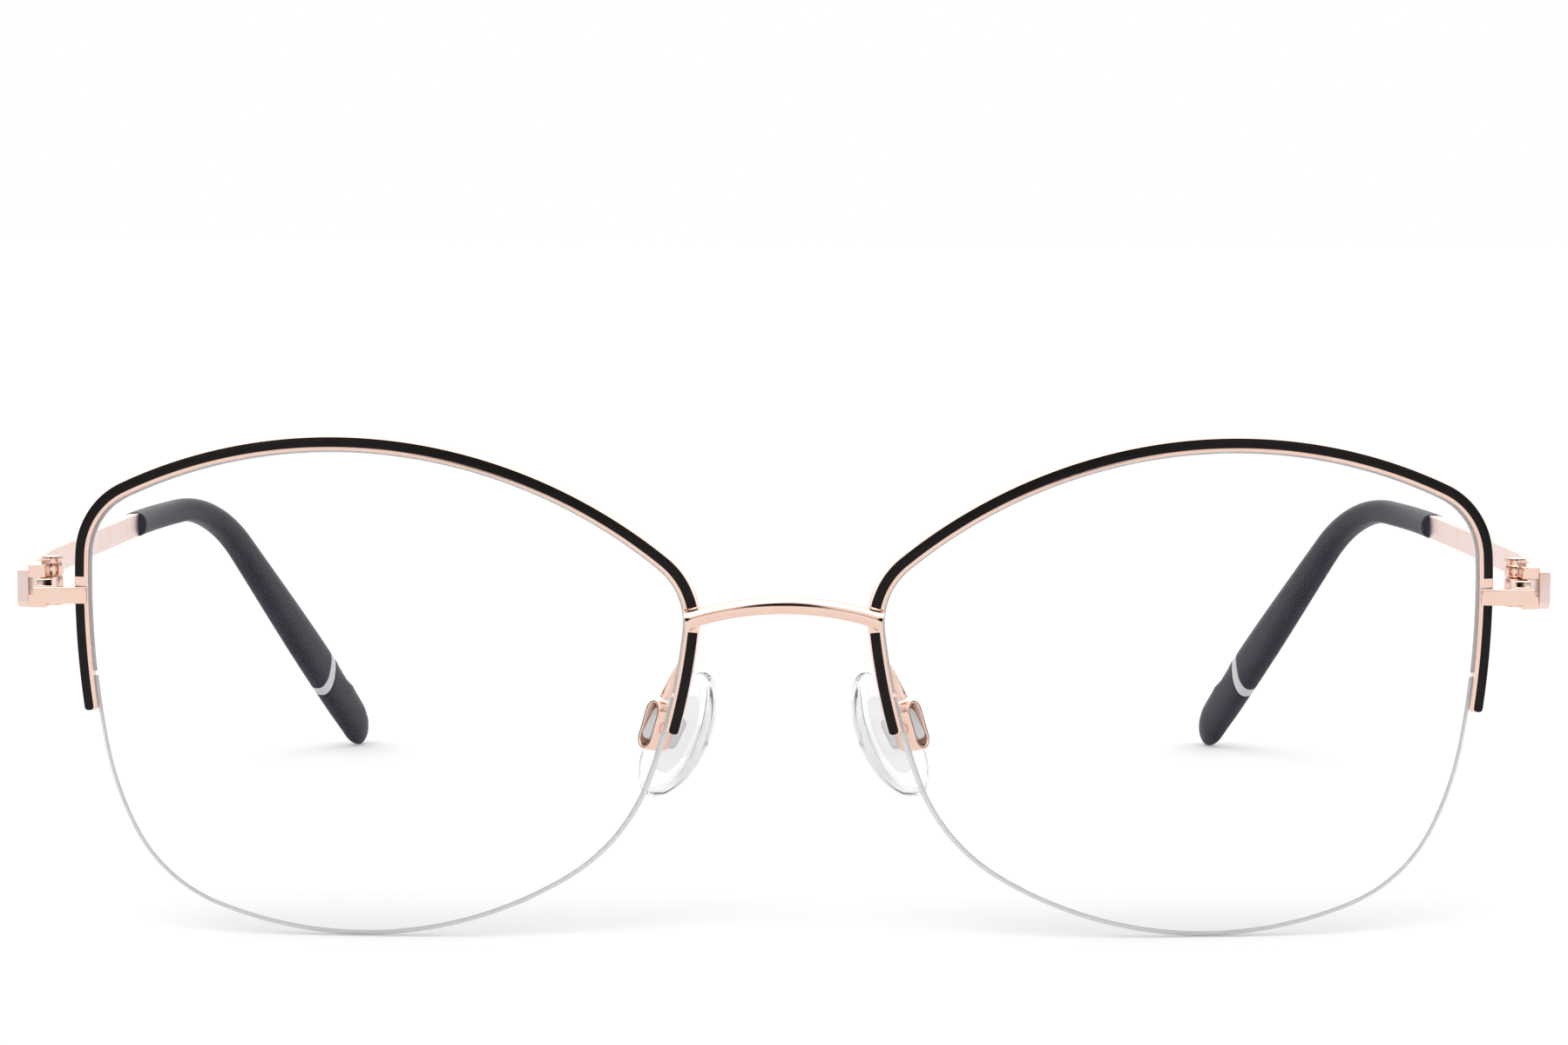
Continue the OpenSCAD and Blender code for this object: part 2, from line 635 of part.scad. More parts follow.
on_table() bridge();
on_left() on_lens() lens();  // lens_left
on_right() on_lens() lens();  // lens_right
on_left() on_lens() eyewire();  // eyewire_left
on_right() on_lens() eyewire();  // eyewire_right
on_left() on_lens() enamel();  // enamel_left
on_right() on_lens() enamel();  // enamel_right
on_left() on_lens() rim_liner();  // rim_liner_left
on_right() on_lens() rim_liner();  // rim_liner_right
on_left() on_lens() nylon_cord();  // nylon_cord_left
on_right() on_lens() nylon_cord();  // nylon_cord_right
on_left() endpiece();  // endpiece_left
on_right() endpiece();  // endpiece_right
on_left() pad_arm();  // pad_arm_left
on_right() pad_arm();  // pad_arm_right
on_left() on_pad() pad_box();  // pad_box_left
on_right() on_pad() pad_box();  // pad_box_right
on_left() on_pad() pad_screw();  // pad_screw_left
on_right() on_pad() pad_screw();  // pad_screw_right
on_left() on_rock() pad_core();  // pad_core_left
on_right() on_rock() pad_core();  // pad_core_right
on_left() on_rock() nose_pad();  // nose_pad_left
on_right() on_rock() nose_pad();  // nose_pad_right
on_left() on_temple() temple_bar();  // temple_bar_left
on_right() on_temple() temple_bar();  // temple_bar_right
on_left() on_temple() hinge_knuckles();  // hinge_knuckles_left
on_right() on_temple() hinge_knuckles();  // hinge_knuckles_right
on_left() on_temple() hinge_screw();  // hinge_screw_left
on_right() on_temple() hinge_screw();  // hinge_screw_right
on_left() on_temple() tip_sleeve();  // tip_sleeve_left
on_right() on_temple() tip_sleeve();  // tip_sleeve_right
on_left() on_temple() tip_ring();  // tip_ring_left
on_right() on_temple() tip_ring();  // tip_ring_right
on_left() on_temple() tip_end();  // tip_end_left
on_right() on_temple() tip_end();  // tip_end_right
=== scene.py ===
"""Half-rim spectacles: the looks of every piece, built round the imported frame.

Metres, +Z up, the front faces -Y and the wearer's left is +X. Every right piece is the
mirror image of the left one.
"""

import json
import math

import bmesh
import bpy
import numpy as np
from mathutils import Matrix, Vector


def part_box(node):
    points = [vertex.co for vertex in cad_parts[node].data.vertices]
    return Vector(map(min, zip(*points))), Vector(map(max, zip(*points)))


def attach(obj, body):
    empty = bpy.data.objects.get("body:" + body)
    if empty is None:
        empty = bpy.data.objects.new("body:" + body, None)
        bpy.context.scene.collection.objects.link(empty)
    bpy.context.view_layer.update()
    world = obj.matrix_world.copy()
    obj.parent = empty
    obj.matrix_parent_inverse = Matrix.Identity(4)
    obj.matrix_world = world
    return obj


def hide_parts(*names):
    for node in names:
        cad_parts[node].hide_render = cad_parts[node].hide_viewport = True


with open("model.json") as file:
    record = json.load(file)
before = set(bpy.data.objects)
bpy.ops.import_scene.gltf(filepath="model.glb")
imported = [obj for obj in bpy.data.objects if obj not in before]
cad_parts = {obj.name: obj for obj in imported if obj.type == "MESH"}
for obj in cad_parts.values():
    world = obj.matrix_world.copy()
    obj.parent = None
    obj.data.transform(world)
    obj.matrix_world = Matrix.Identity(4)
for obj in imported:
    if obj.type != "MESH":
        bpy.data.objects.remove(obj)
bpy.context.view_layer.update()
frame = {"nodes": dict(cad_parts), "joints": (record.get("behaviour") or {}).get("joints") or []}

bl_info = {
    "name": "Half-Rim Spectacles",
    "version": (1, 0, 0),
    "blender": (4, 5, 0),
    "location": "3D View > Sidebar > Spectacles",
    "description": "Half-rim metal spectacles with enamelled brows on a white studio floor",
    "category": "Add Mesh",
}

MM = 0.001
SIDES = (("left", 1), ("right", -1))
JOINTS = {joint["name"]: joint for joint in frame["joints"]}

# Lens edge: a ring of arcs that run into each other, anticlockwise from the temple side, seen
# from the front, with turns in degrees. The two radii that are zero here are worked out so that
# the ring closes, and the ring is then scaled to the lens.
RING_START = 80.2
RING_TURNS = (11, 63, 66, 56, 14, 38, 53, 43, 16)
RING_RADII = (89.8, 6.2, 0, 6.5, 58, 0, 36, 13.8, 29.8)

# Edges of the meshes: the angle from which a made edge is sharp, and for the copies of CAD nodes
# the distance within which corners merge, the angle up to which faces are flat and the angle from
# which an edge is rounded
SHARP = math.radians(40)
MERGED = 0.002 * MM
FLAT = math.radians(1)
ROUNDED = math.radians(35)


def length(name, millimetres, about):
    """A size property, given in millimetres and kept in metres."""
    return bpy.props.FloatProperty(
        name=name, description=about, default=millimetres * MM, precision=5, unit="LENGTH", subtype="DISTANCE"
    )


def angle(name, degrees, about):
    """An angle property, given in degrees and kept in radians."""
    return bpy.props.FloatProperty(
        name=name, description=about, default=math.radians(degrees), unit="ROTATION", subtype="ANGLE"
    )


def share(name, value, about):
    """A property between nothing and one."""
    return bpy.props.FloatProperty(
        name=name, description=about, default=value, min=0, max=1, subtype="FACTOR"
    )


def amount(name, value, about, unit="NONE"):
    """A property for a number from nothing up."""
    return bpy.props.FloatProperty(name=name, description=about, default=value, min=0, unit=unit)


def colour(name, rgb, about):
    """A colour property, in scene-linear red, green and blue."""
    return bpy.props.FloatVectorProperty(
        name=name, description=about, default=rgb, size=3, min=0, max=1, subtype="COLOR"
    )


class LensSizes(bpy.types.PropertyGroup):
    width: length("Width", 54, "Width of a lens")
    height: length("Height", 44, "Height of a lens")
    gap: length("Gap", 18, "Distance between the two lenses")
    thickness: length("Thickness", 2, "Thickness of a lens")
    curve: length("Curve", 130, "Radius of the front surface")
    groove: length("Groove", 0.3, "Radius of the groove round the edge")
    chamfer: length("Chamfer", 0.1, "Width of the polished chamfer at the edge")
    tilt: angle("Tilt", 3, "Forward lean from upright")
    wrap: angle("Wrap", 4, "Turn of each lens towards the temple")


class EyewireSizes(bpy.types.PropertyGroup):
    width: length("Width", 1.2, "Width of an eyewire, seen from the front")
    depth: length("Depth", 1.9, "Depth of an eyewire, front to back")
    proud: length("Proud", 0.3, "How far it stands proud of the lens front")
    clear: length("Clearance", 0.05, "Clearance between the lens edge and the eyewire")
    edge: length("Edge", 0.09, "Radius of its long edges")
    end_round: length("End", 0.3, "Radius of its cut ends")
    end_down: length("End drop", 2.5, "Depth of its ends below the middle of the lens")
    end_slope: angle("End slope", 1.5, "Slope of the line through the two ends")
    channel: length("Channel", 0.4, "Depth of the channel for the liner")
    channel_half: length("Channel half width", 0.3, "Half the width of the channel for the liner")
    enamel: length("Enamel", 0.86, "Width of the enamelled band")
    enamel_edge: length("Enamel edge", 0.04, "Bare edge outside the band")
    enamel_dome: length("Enamel dome", 0.035, "How far the enamel stands proud of the metal")
    enamel_sunk: length("Enamel depth", 0.12, "How deep the enamel lies in the metal")
    enamel_cut: length("Enamel cut", 0.05, "Radius of the enamel where it is cut off at a joint")
    enamel_blunt: length("Enamel end", 0.32, "Radius of the enamel at the ends of the eyewire")
    cord: length("Cord", 0.55, "Diameter of the nylon cord under a lens")
    cord_in: length("Cord depth", 0.055, "Distance of the cord's middle inside the lens edge")
    cord_hold: length("Cord hold", 3, "Length of cord inside each end of the eyewire")


class JoinSizes(bpy.types.PropertyGroup):
    bridge: length("Bridge", 1.56, "Diameter of the bridge rod")
    bridge_short: length("Bridge short", 0.3, "Distance of the rod's ends from the lens edges")
    bridge_rise: length("Rise", 1.7, "Rise of the arch above its ends")
    bridge_lean: angle("Lean", 30, "Forward lean of the arch")
    bridge_up: length("Bridge height", 6.9, "Height of its ends above the middle of the lens")
    braze: length("Braze", 0.25, "Depth to which the rod is brazed into the eyewires")
    fillet: length("Fillet", 0.22, "Flare of the braze at each end of the rod")
    end_up: length("End piece height", 8.85, "Height of the end piece above the middle of the lens")
    end_height: length("End piece", 1.5, "Height of the end piece bar")
    bare: length("Bare", 0.2, "Bare eyewire beside each brazed joint")
    bare_top: length("Bare top", 0.6, "Bare eyewire above the end piece")
    eased: length("Eased edge", 0.14, "Rounding of the hinge, end piece and temple edges")
    eased_fine: length("Fine edge", 0.05, "Rounding of the screws")


class TempleSizes(bpy.types.PropertyGroup):
    bar_height: length("Bar height", 2.3, "Height of a temple bar")
    bar_thick: length("Bar thickness", 1, "Thickness of a temple bar")
    bar_inside: length("Bar inside", 1.55, "Distance of its inner face from the hinge pin")
    bar_step: length("Brow step", 0.45, "Drop of the brow over the hinge")
    rise: angle("Rise", 0.1, "Upward slope of the bar from the hinge")
    toe_in: angle("Toe in", 1.5, "Inward turn of the temple at the hinge")
    sleeve_at: length("Sleeve", 53.05, "Distance from the hinge to the mouth of the sleeve")
    bend_at: length("Bend", 73, "Distance from the hinge to the ear bend")
    bend_radius: length("Bend radius", 36, "Radius of the ear bend")
    bend_turn: angle("Bend turn", 32.8, "Downward turn of the ear bend")
    hook_in: angle("Hook", 11.7, "Inward turn behind the ear")
    hook_before: length("Hook start", 19, "Where the inward turn starts, before the ear bend")
    hook_after: length("Hook end", 11, "Where it is complete, after the start of the ear bend")
    sleeve_height: length("Sleeve height", 2.5, "Height of the sleeve at its mouth")
    sleeve_thick: length("Sleeve thickness", 2.5, "Thickness of the sleeve")
    paddle_height: length("Paddle", 5.3, "Height of the tip where it is widest")
    tip_length: length("Tip end", 16.5, "Length of the end piece of a tip")
    tip_round: length("Tip round", 4.6, "Length of its rounded end")
    ring_width: length("Ring", 1.8, "Width of the pale ring")
    lip: length("Lip", 0.3, "Rounding of the sleeve's mouth")
    seam: length("Seam", 0.1, "Rounding of the pieces where they meet the ring")
    core_height: length("Core height", 1.4, "Height of the bore for the core wire")
    core_thick: length("Core thickness", 0.9, "Thickness of the bore for the core wire")


class PadSizes(bpy.types.PropertyGroup):
    height: length("Length", 12.4, "Length of a nose pad")
    width: length("Width", 7.3, "Width of a nose pad")
    thickness: length("Thickness", 2, "Thickness of a nose pad in the middle")
    dome: length("Dome", 26, "Radius of its front")
    rim: length("Rim", 0.75, "Radius of its rim")
    hollow: length("Hollow", 0.35, "Depth of the shallow dish in its back")
    gap: length("Gap", 0.7, "Distance of the pad from its box")
    core_share: share("Core share", 0.62, "Size of the inner plate as a share of the pad")
    core_thick: length("Core", 0.6, "Thickness of the inner plate")
    core_deep: length("Core depth", 0.6, "Depth of the inner plate under the back")
    lug_height: length("Lug height", 3, "Height of the lug")
    lug_thick: length("Lug thickness", 1.4, "Thickness of the lug")
    lug_reach: length("Lug reach", 0.9, "Reach of the lug past the screw")
    lean: angle("Lean", 16, "Lean of the boxes towards each other at the top")
    rock: angle("Rock", 12, "Further lean of the pads")
    splay: angle("Splay", 38, "Turn of the pads to the back")
    box_height: length("Box height", 4.6, "Height of the pad box")
    box_width: length("Box width", 2.1, "Width of the pad box")
    box_length: length("Box length", 2.4, "Length of the pad box")
    box_wall: length("Box wall", 0.3, "Wall of the pad box")
    arm: length("Arm", 0.9, "Diameter of the pad arm")
    arm_up: length("Arm height", 3.6, "Height of its root above the middle of the lens")


class Finishes(bpy.types.PropertyGroup):
    gold: colour("Rose gold", (0.95, 0.69, 0.58), "Plating")
    gold_worn: colour("Rose gold, worn", (0.93, 0.655, 0.54), "Plating where it is handled")
    gold_pale: colour("Rose gold, pale", (0.96, 0.77, 0.73), "Plating of the temple bars")
    enamel: colour("Enamel", (0.009, 0.0075, 0.0075), "Black enamel")
    slate: colour("Slate", (0.015, 0.016, 0.023), "Plastic of the tips")
    slate_pale: colour("Slate, pale", (0.022, 0.024, 0.034), "Clouding in the plastic of the tips")
    ring: colour("Ring", (0.66, 0.65, 0.65), "Pale ring of the tips")
    glass: colour("Glass", (0.99, 0.992, 0.995), "Lenses")
    coating: colour("Coating", (0.16, 0.16, 0.22), "What the coating of the lenses reflects")
    ground: colour("Ground glass", (0.93, 0.93, 0.96), "Ground edge of the lenses")
    nylon: colour("Nylon", (0.97, 0.97, 0.985), "Cords and liners")
    silicone: colour("Silicone", (0.975, 0.975, 0.99), "Nose pads")
    core: colour("Core", (0.96, 0.955, 0.965), "Plates inside the nose pads")


class StageSizes(bpy.types.PropertyGroup):
    floor: colour("Floor", (0.82, 0.82, 0.82), "Floor")
    floor_reach: length("Floor reach", 8000, "Distance from the middle of the floor to its sides")
    floor_down: length("Floor depth", 0.03, "Distance of the floor below the origin")
    floor_glow: amount("Floor glow", 0.2, "Light that the floor gives of its own")
    ambient: amount("Ambient", 0.9, "Light from all round")
    key: amount("Key", 0.55, "Strength of the key light, from the front")
    key_tip: angle("Key tip", 38, "Angle of the key light from straight down")
    key_turn: angle("Key turn", -28, "Turn of the key light from the front")
    fill: amount("Fill", 0.22, "Strength of the fill light")
    fill_tip: angle("Fill tip", 30, "Angle of the fill light from straight down")
    fill_turn: angle("Fill turn", 42, "Turn of the fill light from the front")
    softness: angle("Softness", 40, "Width of the lights in the sky")
    band: share("Band", 0.86, "Darkness of the dark band that the metal reflects")
    camera_back: length("Camera distance", 439.749, "Distance of the camera in front of the origin")
    camera_up: length("Camera height", 65.54, "Height of the camera above the floor")
    camera_down: angle("Camera pitch", 4.289, "Downward pitch of the camera")
    camera_roll: angle("Camera roll", 0.084, "Roll of the camera")
    camera_lens: amount("Focal length", 95.716, "Focal length of the camera", "CAMERA")
    camera_sensor: amount("Sensor", 36, "Width of the camera's sensor", "CAMERA")
    camera_near: length("Nearest", 10, "Distance from the camera at which the picture starts")


GROUPS = {
    "lens": LensSizes,
    "eyewire": EyewireSizes,
    "join": JoinSizes,
    "temple": TempleSizes,
    "pad": PadSizes,
    "finish": Finishes,
    "stage": StageSizes,
}


class Spectacles(bpy.types.PropertyGroup):
    """Every group of sizes and colours."""

    __annotations__ = {name: bpy.props.PointerProperty(type=group) for name, group in GROUPS.items()}


def sizes(group):
    """The property group of that name in this scene."""
    return getattr(bpy.context.scene.spectacles, group)


# Points, profiles and grids


def unit(v):
    """Each vector of an array, brought to length one."""
    return v / np.linalg.norm(v, axis=-1, keepdims=True)


def turn_x(p, a):
    """Points turned round the X axis."""
    return np.stack([p[..., 0], p[..., 1] * np.cos(a) - p[..., 2] * np.sin(a),
                     p[..., 1] * np.sin(a) + p[..., 2] * np.cos(a)], -1)


def turn_y(p, a):
    """Points turned round the Y axis."""
    return np.stack([p[..., 0] * np.cos(a) + p[..., 2] * np.sin(a), p[..., 1],
                     p[..., 2] * np.cos(a) - p[..., 0] * np.sin(a)], -1)


def turn_z(p, a):
    """Points turned round the Z axis."""
    return np.stack([p[..., 0] * np.cos(a) - p[..., 1] * np.sin(a),
                     p[..., 0] * np.sin(a) + p[..., 1] * np.cos(a), p[..., 2]], -1)


def full_turn(steps):
    """Even angles round a full turn."""
    return np.linspace(0, 2 * math.pi, steps, endpoint=False)


def smooth(t):
    """Share of a change, t of the way along it, that starts and ends slowly."""
    return t * t * (3 - 2 * t)


def squared(wave, power):
    """A sine or cosine raised to a power, with its sign kept."""
    return np.sign(wave) * np.abs(wave) ** power


def closing(away, reach, least=0):
    """Share of the full radius at distances from an end that a quarter circle rounds off.

    reach is the length of the round stretch, and least the smallest square of the share.
    """
    near = np.clip(1 - away / reach, 0, 1)
    return np.sqrt(np.clip(1 - near ** 2, least, 1))


def rounded(corners, radii, steps=5):
    """Closed outline of a polygon whose corners are arcs.

    An arc's middle lies on the corner's bisector, its radius over the sine of half the corner's
    angle away, and its points turn evenly from one side of the corner to the other.
    """
    p = np.array(corners, float)
    r = np.broadcast_to(np.array(radii, float), len(p))[:, None]
    back = unit(np.roll(p, 1, 0) - p)
    on = unit(np.roll(p, -1, 0) - p)
    half = np.arccos(np.clip((back * on).sum(1, keepdims=True), -1, 1)) / 2
    middle = p + unit(back + on) * r / np.sin(half)
    first = p + back * r / np.tan(half) - middle
    last = p + on * r / np.tan(half) - middle
    swing = (math.pi - 2 * half)[:, :, None]
    t = np.linspace(0, 1, steps)[None, :, None]
    arc = np.sin((1 - t) * swing) * first[:, None] + np.sin(t * swing) * last[:, None]
    return (middle[:, None] + arc / np.sin(swing)).reshape(-1, 2)


def stadium(height, width, steps=24):
    """Outline with two round ends, standing on its second axis, and the way out at each point."""
    a = np.concatenate([np.linspace(0, math.pi, steps), np.linspace(math.pi, 2 * math.pi, steps)])
    out = np.stack([np.cos(a), np.sin(a)], 1)
    lift = np.repeat([1, -1], steps) * (height - width) / 2
    return width / 2 * out + np.stack([0 * lift, lift], 1), out


def egg(height, width, taper=0.12, steps=120):
    """Outline of a nose pad: an oval whose width falls evenly towards its top."""
    a = full_turn(steps)
    return np.stack([width / 2 * np.cos(a) * (1 - taper * np.sin(a)), height / 2 * np.sin(a)], 1)


def end_stops(first, last, radii, count, steps=6):
    """Places along a line, and how far the profile is drawn in at each.

    The middle places are even. Those within a radius of an end follow a quarter circle.
    """
    a = np.linspace(0, math.pi / 2, steps)
    along, inwards = 1 - np.sin(a), 1 - np.cos(a)
    even = np.linspace(first + radii[0], last - radii[1], count)[1:-1]
    way = np.concatenate([first + radii[0] * along[::-1], even, last - radii[1] * along])
    inset = np.concatenate([radii[0] * inwards[::-1], 0 * even, radii[1] * inwards])
    return way, inset


def drawn_in(profile, inset):
    """A profile for each inset, shrunk towards its middle by that much on every side.

    The inset is one number for both axes, or one for each.
    """
    low, high = profile.min(0), profile.max(0)
    scale = 1 - 2 * inset.reshape(len(inset), 1, -1) / (high - low)
    middle = (low + high) / 2
    return middle + (profile - middle)[None] * scale


def skin(grid, ring=False):
    """Vertices and faces of a grid whose columns run round.

    With ring the last row joins the first. Without it a pole in the middle of the first and of
    the last row closes each end. The faces are turned round if their volume is negative.
    """
    rows, columns = grid.shape[:2]
    index = np.arange(rows * columns).reshape(rows, columns)
    points = grid.reshape(-1, 3)
    lines = np.vstack([index, index[:1]]) if ring else index
    a, b = lines[:-1], lines[1:]
    quads = np.stack([a, np.roll(a, -1, 1), np.roll(b, -1, 1), b], -1).reshape(-1, 4)
    triangles = np.empty((0, 3), int)
    if not ring:
        points = np.vstack([points, grid[0].mean(0), grid[-1].mean(0)])
        first, last = index[0], index[-1]
        low = np.full(columns, rows * columns)
        triangles = np.vstack([np.stack([np.roll(first, -1), first, low], 1),
                               np.stack([last, np.roll(last, -1), low + 1], 1)])
    split = np.vstack([quads[:, [0, 1, 2]], quads[:, [0, 2, 3]], triangles])
    p = points[split] - points.mean(0)
    if (p[:, 0] * np.cross(p[:, 1], p[:, 2])).sum() < 0:
        quads, triangles = quads[:, ::-1], triangles[:, ::-1]
    return points, quads, triangles


def dress(mesh, body, material, nodes):
    """A piece with that mesh and its name, its material, body and slot, and the CAD nodes it replaces."""
    mesh.materials.clear()
    mesh.materials.append(bpy.data.materials[material])
    piece = bpy.data.objects.new(mesh.name, mesh)
    bpy.context.scene.collection.objects.link(piece)
    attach(piece, body)
    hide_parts(*nodes)
    return piece


def make(name, side, grids, body, material, nodes, marks=None):
    """One piece from its grids, each with its ring flag, mirrored for the right side.

    marks gives the first points a number that the material reads. The other points have zero.
    """
    points, faces, start = [], [], 0
    for grid, ring in grids:
        p, quads, triangles = skin(grid * np.array([side, 1, 1]), ring)
        points.append(p)
        faces += (quads + start).tolist() + (triangles + start).tolist()
        start += len(p)
    mesh = bpy.data.meshes.new(name)
    mesh.from_pydata(np.vstack(points).tolist(), [], faces)
    mesh.shade_smooth()
    mesh.set_sharp_from_angle(angle=SHARP)
    if marks is not None:
        padded = np.concatenate([marks, np.zeros(start - len(marks))]).astype(np.float32)
        mesh.attributes.new("mark", "FLOAT", "POINT").data.foreach_set("value", padded)
    dress(mesh, body, material, nodes)


def pair(kind, finish, grids, body, material, marks=None):
    """The left and the right piece of a kind. Braces in the body's name stand for the side."""
    for name, side in SIDES:
        node = f"{kind}_{name}"
        make(f"{node}_{finish}", side, grids, body.format(name), material, [node], marks)


def eased_pair(kind, finish, body, material, width):
    """The same, copied from the CAD nodes: corners merged, flats made whole, sharp edges rounded."""
    for name, _ in SIDES:
        node = f"{kind}_{name}"
        mesh = bpy.data.meshes.new(f"{node}_{finish}")
        work = bmesh.new()
        work.from_mesh(frame["nodes"][node].data)
        bmesh.ops.remove_doubles(work, verts=work.verts, dist=MERGED)
        bmesh.ops.dissolve_limit(work, angle_limit=FLAT, verts=work.verts, edges=work.edges)
        work.to_mesh(mesh)
        work.free()
        mesh.shade_smooth()
        piece = dress(mesh, body.format(name), material, [node])
        bevel = piece.modifiers.new("eased edges", "BEVEL")
        bevel.width = width
        bevel.segments = 3
        bevel.limit_method = "ANGLE"
        bevel.angle_limit = ROUNDED
        weighted = piece.modifiers.new("flat faces", "WEIGHTED_NORMAL")
        weighted.weight = 90


# Shape of the front


class LensRing:
    """The edge of a lens as a function of the way along it, and its place in the frame."""

    def __init__(self):
        self.lens = sizes("lens")
        self.turn = np.radians(np.array(RING_TURNS, float))
        self.radius = np.array(RING_RADII, float)
        self.head = math.radians(RING_START) + np.concatenate([[0], np.cumsum(self.turn)[:-1]])
        free = np.flatnonzero(self.radius == 0)
        chord = self.chord(self.head, self.turn)
        self.radius[free] = np.linalg.solve(chord[free].T, -(self.radius[:, None] * chord).sum(0))
        self.start = np.vstack([[0, 0], np.cumsum(self.radius[:, None] * chord, 0)[:-1]])
        self.reached = np.concatenate([[0], np.cumsum(self.radius * self.turn)])
        self.scale, self.middle = np.ones(2), np.zeros(2)
        whole = np.linspace(0, 1, 2000)
        raw = self.points(whole)
        size = np.array([self.lens.width, self.lens.height])
        self.scale = size / np.ptp(raw, 0)
        self.middle = (raw.max(0) + raw.min(0)) / 2
        self.offset = np.zeros(3)
        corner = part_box("lens_left")[0]
        centre = self.place(np.array([0, self.lens.curve, 0]))
        edge = self.place(self.surface(self.points(whole), 0))
        self.offset = np.array([0, corner.y + self.lens.curve - centre[1], corner.z - edge[:, 2].min()])

    def chord(self, a, t):
        """From the start of an arc of radius one and heading a to a turn t further on."""
        return np.stack([np.sin(a + t) - np.sin(a), np.cos(a) - np.cos(a + t)], -1)

    def headings(self, way):
        """The arc that each place lies on, its heading at its start, and the turn since."""
        s = np.mod(way, 1) * self.reached[-1]
        i = np.clip(np.searchsorted(self.reached, s, side="right") - 1, 0, len(self.turn) - 1)
        return i, self.head[i], (s - self.reached[i]) / self.radius[i]

    def points(self, way, out=0):
        """Places on the edge, way from 0 to 1 round it, moved outwards by out."""
        i, a, t = self.headings(way)
        p = self.start[i] + self.radius[i, None] * self.chord(a, t)
        n = unit(np.stack([np.sin(a + t), -np.cos(a + t)], -1) / self.scale)
        return (p - self.middle) * self.scale + np.expand_dims(out, -1) * n

    def surface(self, flat, back):
        """Flat places carried to the sphere that lies back behind the lens front."""
        r = self.lens.curve
        y = r - np.sqrt((r - back) ** 2 - (flat ** 2).sum(-1))
        return np.stack([flat[..., 0], y, flat[..., 1]], -1)

    def place(self, p):
        """From the middle of the left lens to the frame: wrap, shift to the side, tilt and lift."""
        shifted = turn_z(p, self.lens.wrap) + np.array([(self.lens.width + self.lens.gap) / 2, 0, 0])
        return turn_x(shifted, self.lens.tilt) + self.offset

    def sweep(self, way, profiles):
        """Profiles of distance outwards and backwards, carried along the edge."""
        flat = self.points(way[:, None], profiles[..., 0])
        return self.place(self.surface(flat, profiles[..., 1]))

    def crossing(self, height, slope, side, steps=4000):
        """Way to the place on the temple side or the nose side where the edge passes a line."""
        way = np.linspace(0, 1, steps + 1)
        p = self.points(way)
        above = p[:, 1] - height - slope * p[:, 0]
        found = np.flatnonzero((above[:-1] * above[1:] <= 0) & (p[:-1, 0] * side > 0))
        i = found[0]
        return way[i] + (way[i + 1] - way[i]) * above[i] / (above[i] - above[i + 1])

    def lengthwise(self, distance):
        """A distance along the edge as a share of its whole way."""
        return distance / (self.reached[-1] * self.scale.mean())


def wire_place(ring, height, side, back):
    """Middle of the eyewire's width at a height on the lens, a distance back behind its front."""
    wire = sizes("eyewire")
    way = ring.crossing(height, 0, side)
    flat = ring.points(np.array([way]), wire.clear + wire.width / 2)
    return ring.place(ring.surface(flat, back - wire.proud))[0]


def lens_grid(ring):
    """A lens as rings that grow from the middle of its front, turn over its edge and shrink again.

    On both faces a ring is the edge shape times its share of the way out. On the edge the profile
    goes down the chamfer, across a half-round groove and over the other chamfer. The numbers
    beside the grid are one on the edge and zero elsewhere.
    """
    lens = sizes("lens")
    columns, rings, groove_steps = 720, 18, 9
    way = np.linspace(0, 1, columns, endpoint=False)
    shares = np.sin(np.linspace(0, math.pi / 2, rings))[1:]
    a = np.linspace(0, math.pi, groove_steps)
    groove = np.stack([-lens.groove * np.sin(a), lens.thickness / 2 - lens.groove * np.cos(a)], 1)
    cut, knee, deep = lens.chamfer, 0.3 * lens.chamfer, lens.thickness
    edge = np.vstack([[-cut, 0], [-knee, knee], [0, cut], groove,
                      [0, deep - cut], [-knee, deep - knee], [-cut, deep]])
    inner = ring.points(way, -lens.chamfer)
    front = ring.surface(shares[:-1, None, None] * inner, 0)
    back = ring.surface(shares[:-1, None, None][::-1] * inner, lens.thickness)
    rim = ring.surface(ring.points(way[None], edge[:, None, 0]), edge[:, None, 1])
    ground = np.concatenate([np.zeros(len(front)), np.ones(len(rim)), np.zeros(len(back))])
    return ring.place(np.vstack([front, rim, back])), np.repeat(ground, len(way))


def eyewire_profile():
    """Section of an eyewire: a box with eased corners and a square channel on its inner side."""
    wire, lens = sizes("eyewire"), sizes("lens")
    inner, outer = wire.clear, wire.clear + wire.width
    front, rear = -wire.proud, wire.depth - wire.proud
    high, low = lens.thickness / 2 - wire.channel_half, lens.thickness / 2 + wire.channel_half
    corners = [[inner, front], [outer, front], [outer, rear], [inner, rear], [inner, low],
               [inner + wire.channel, low], [inner + wire.channel, high], [inner, high]]
    fine = wire.edge / 3
    return rounded(corners, [wire.edge] * 4 + [fine] * 4)


def eyewire_ways(ring):
    """Ways to the temple end and the nose end of an eyewire."""
    wire = sizes("eyewire")
    ends = [ring.crossing(-wire.end_down, math.tan(wire.end_slope), side) for side in (1, -1)]
    return ends[0] - 1 if ends[0] > ends[1] else ends[0], ends[1]


def eyewire_grid(ring):
    """An eyewire: its section carried from end to end, drawn in at both rounded ends."""
    first, last = eyewire_ways(ring)
    end = ring.lengthwise(sizes("eyewire").end_round)
    way, inset = end_stops(first, last, (end, end), count=620)
    return ring.sweep(way, drawn_in(eyewire_profile(), inset / ring.lengthwise(1)))


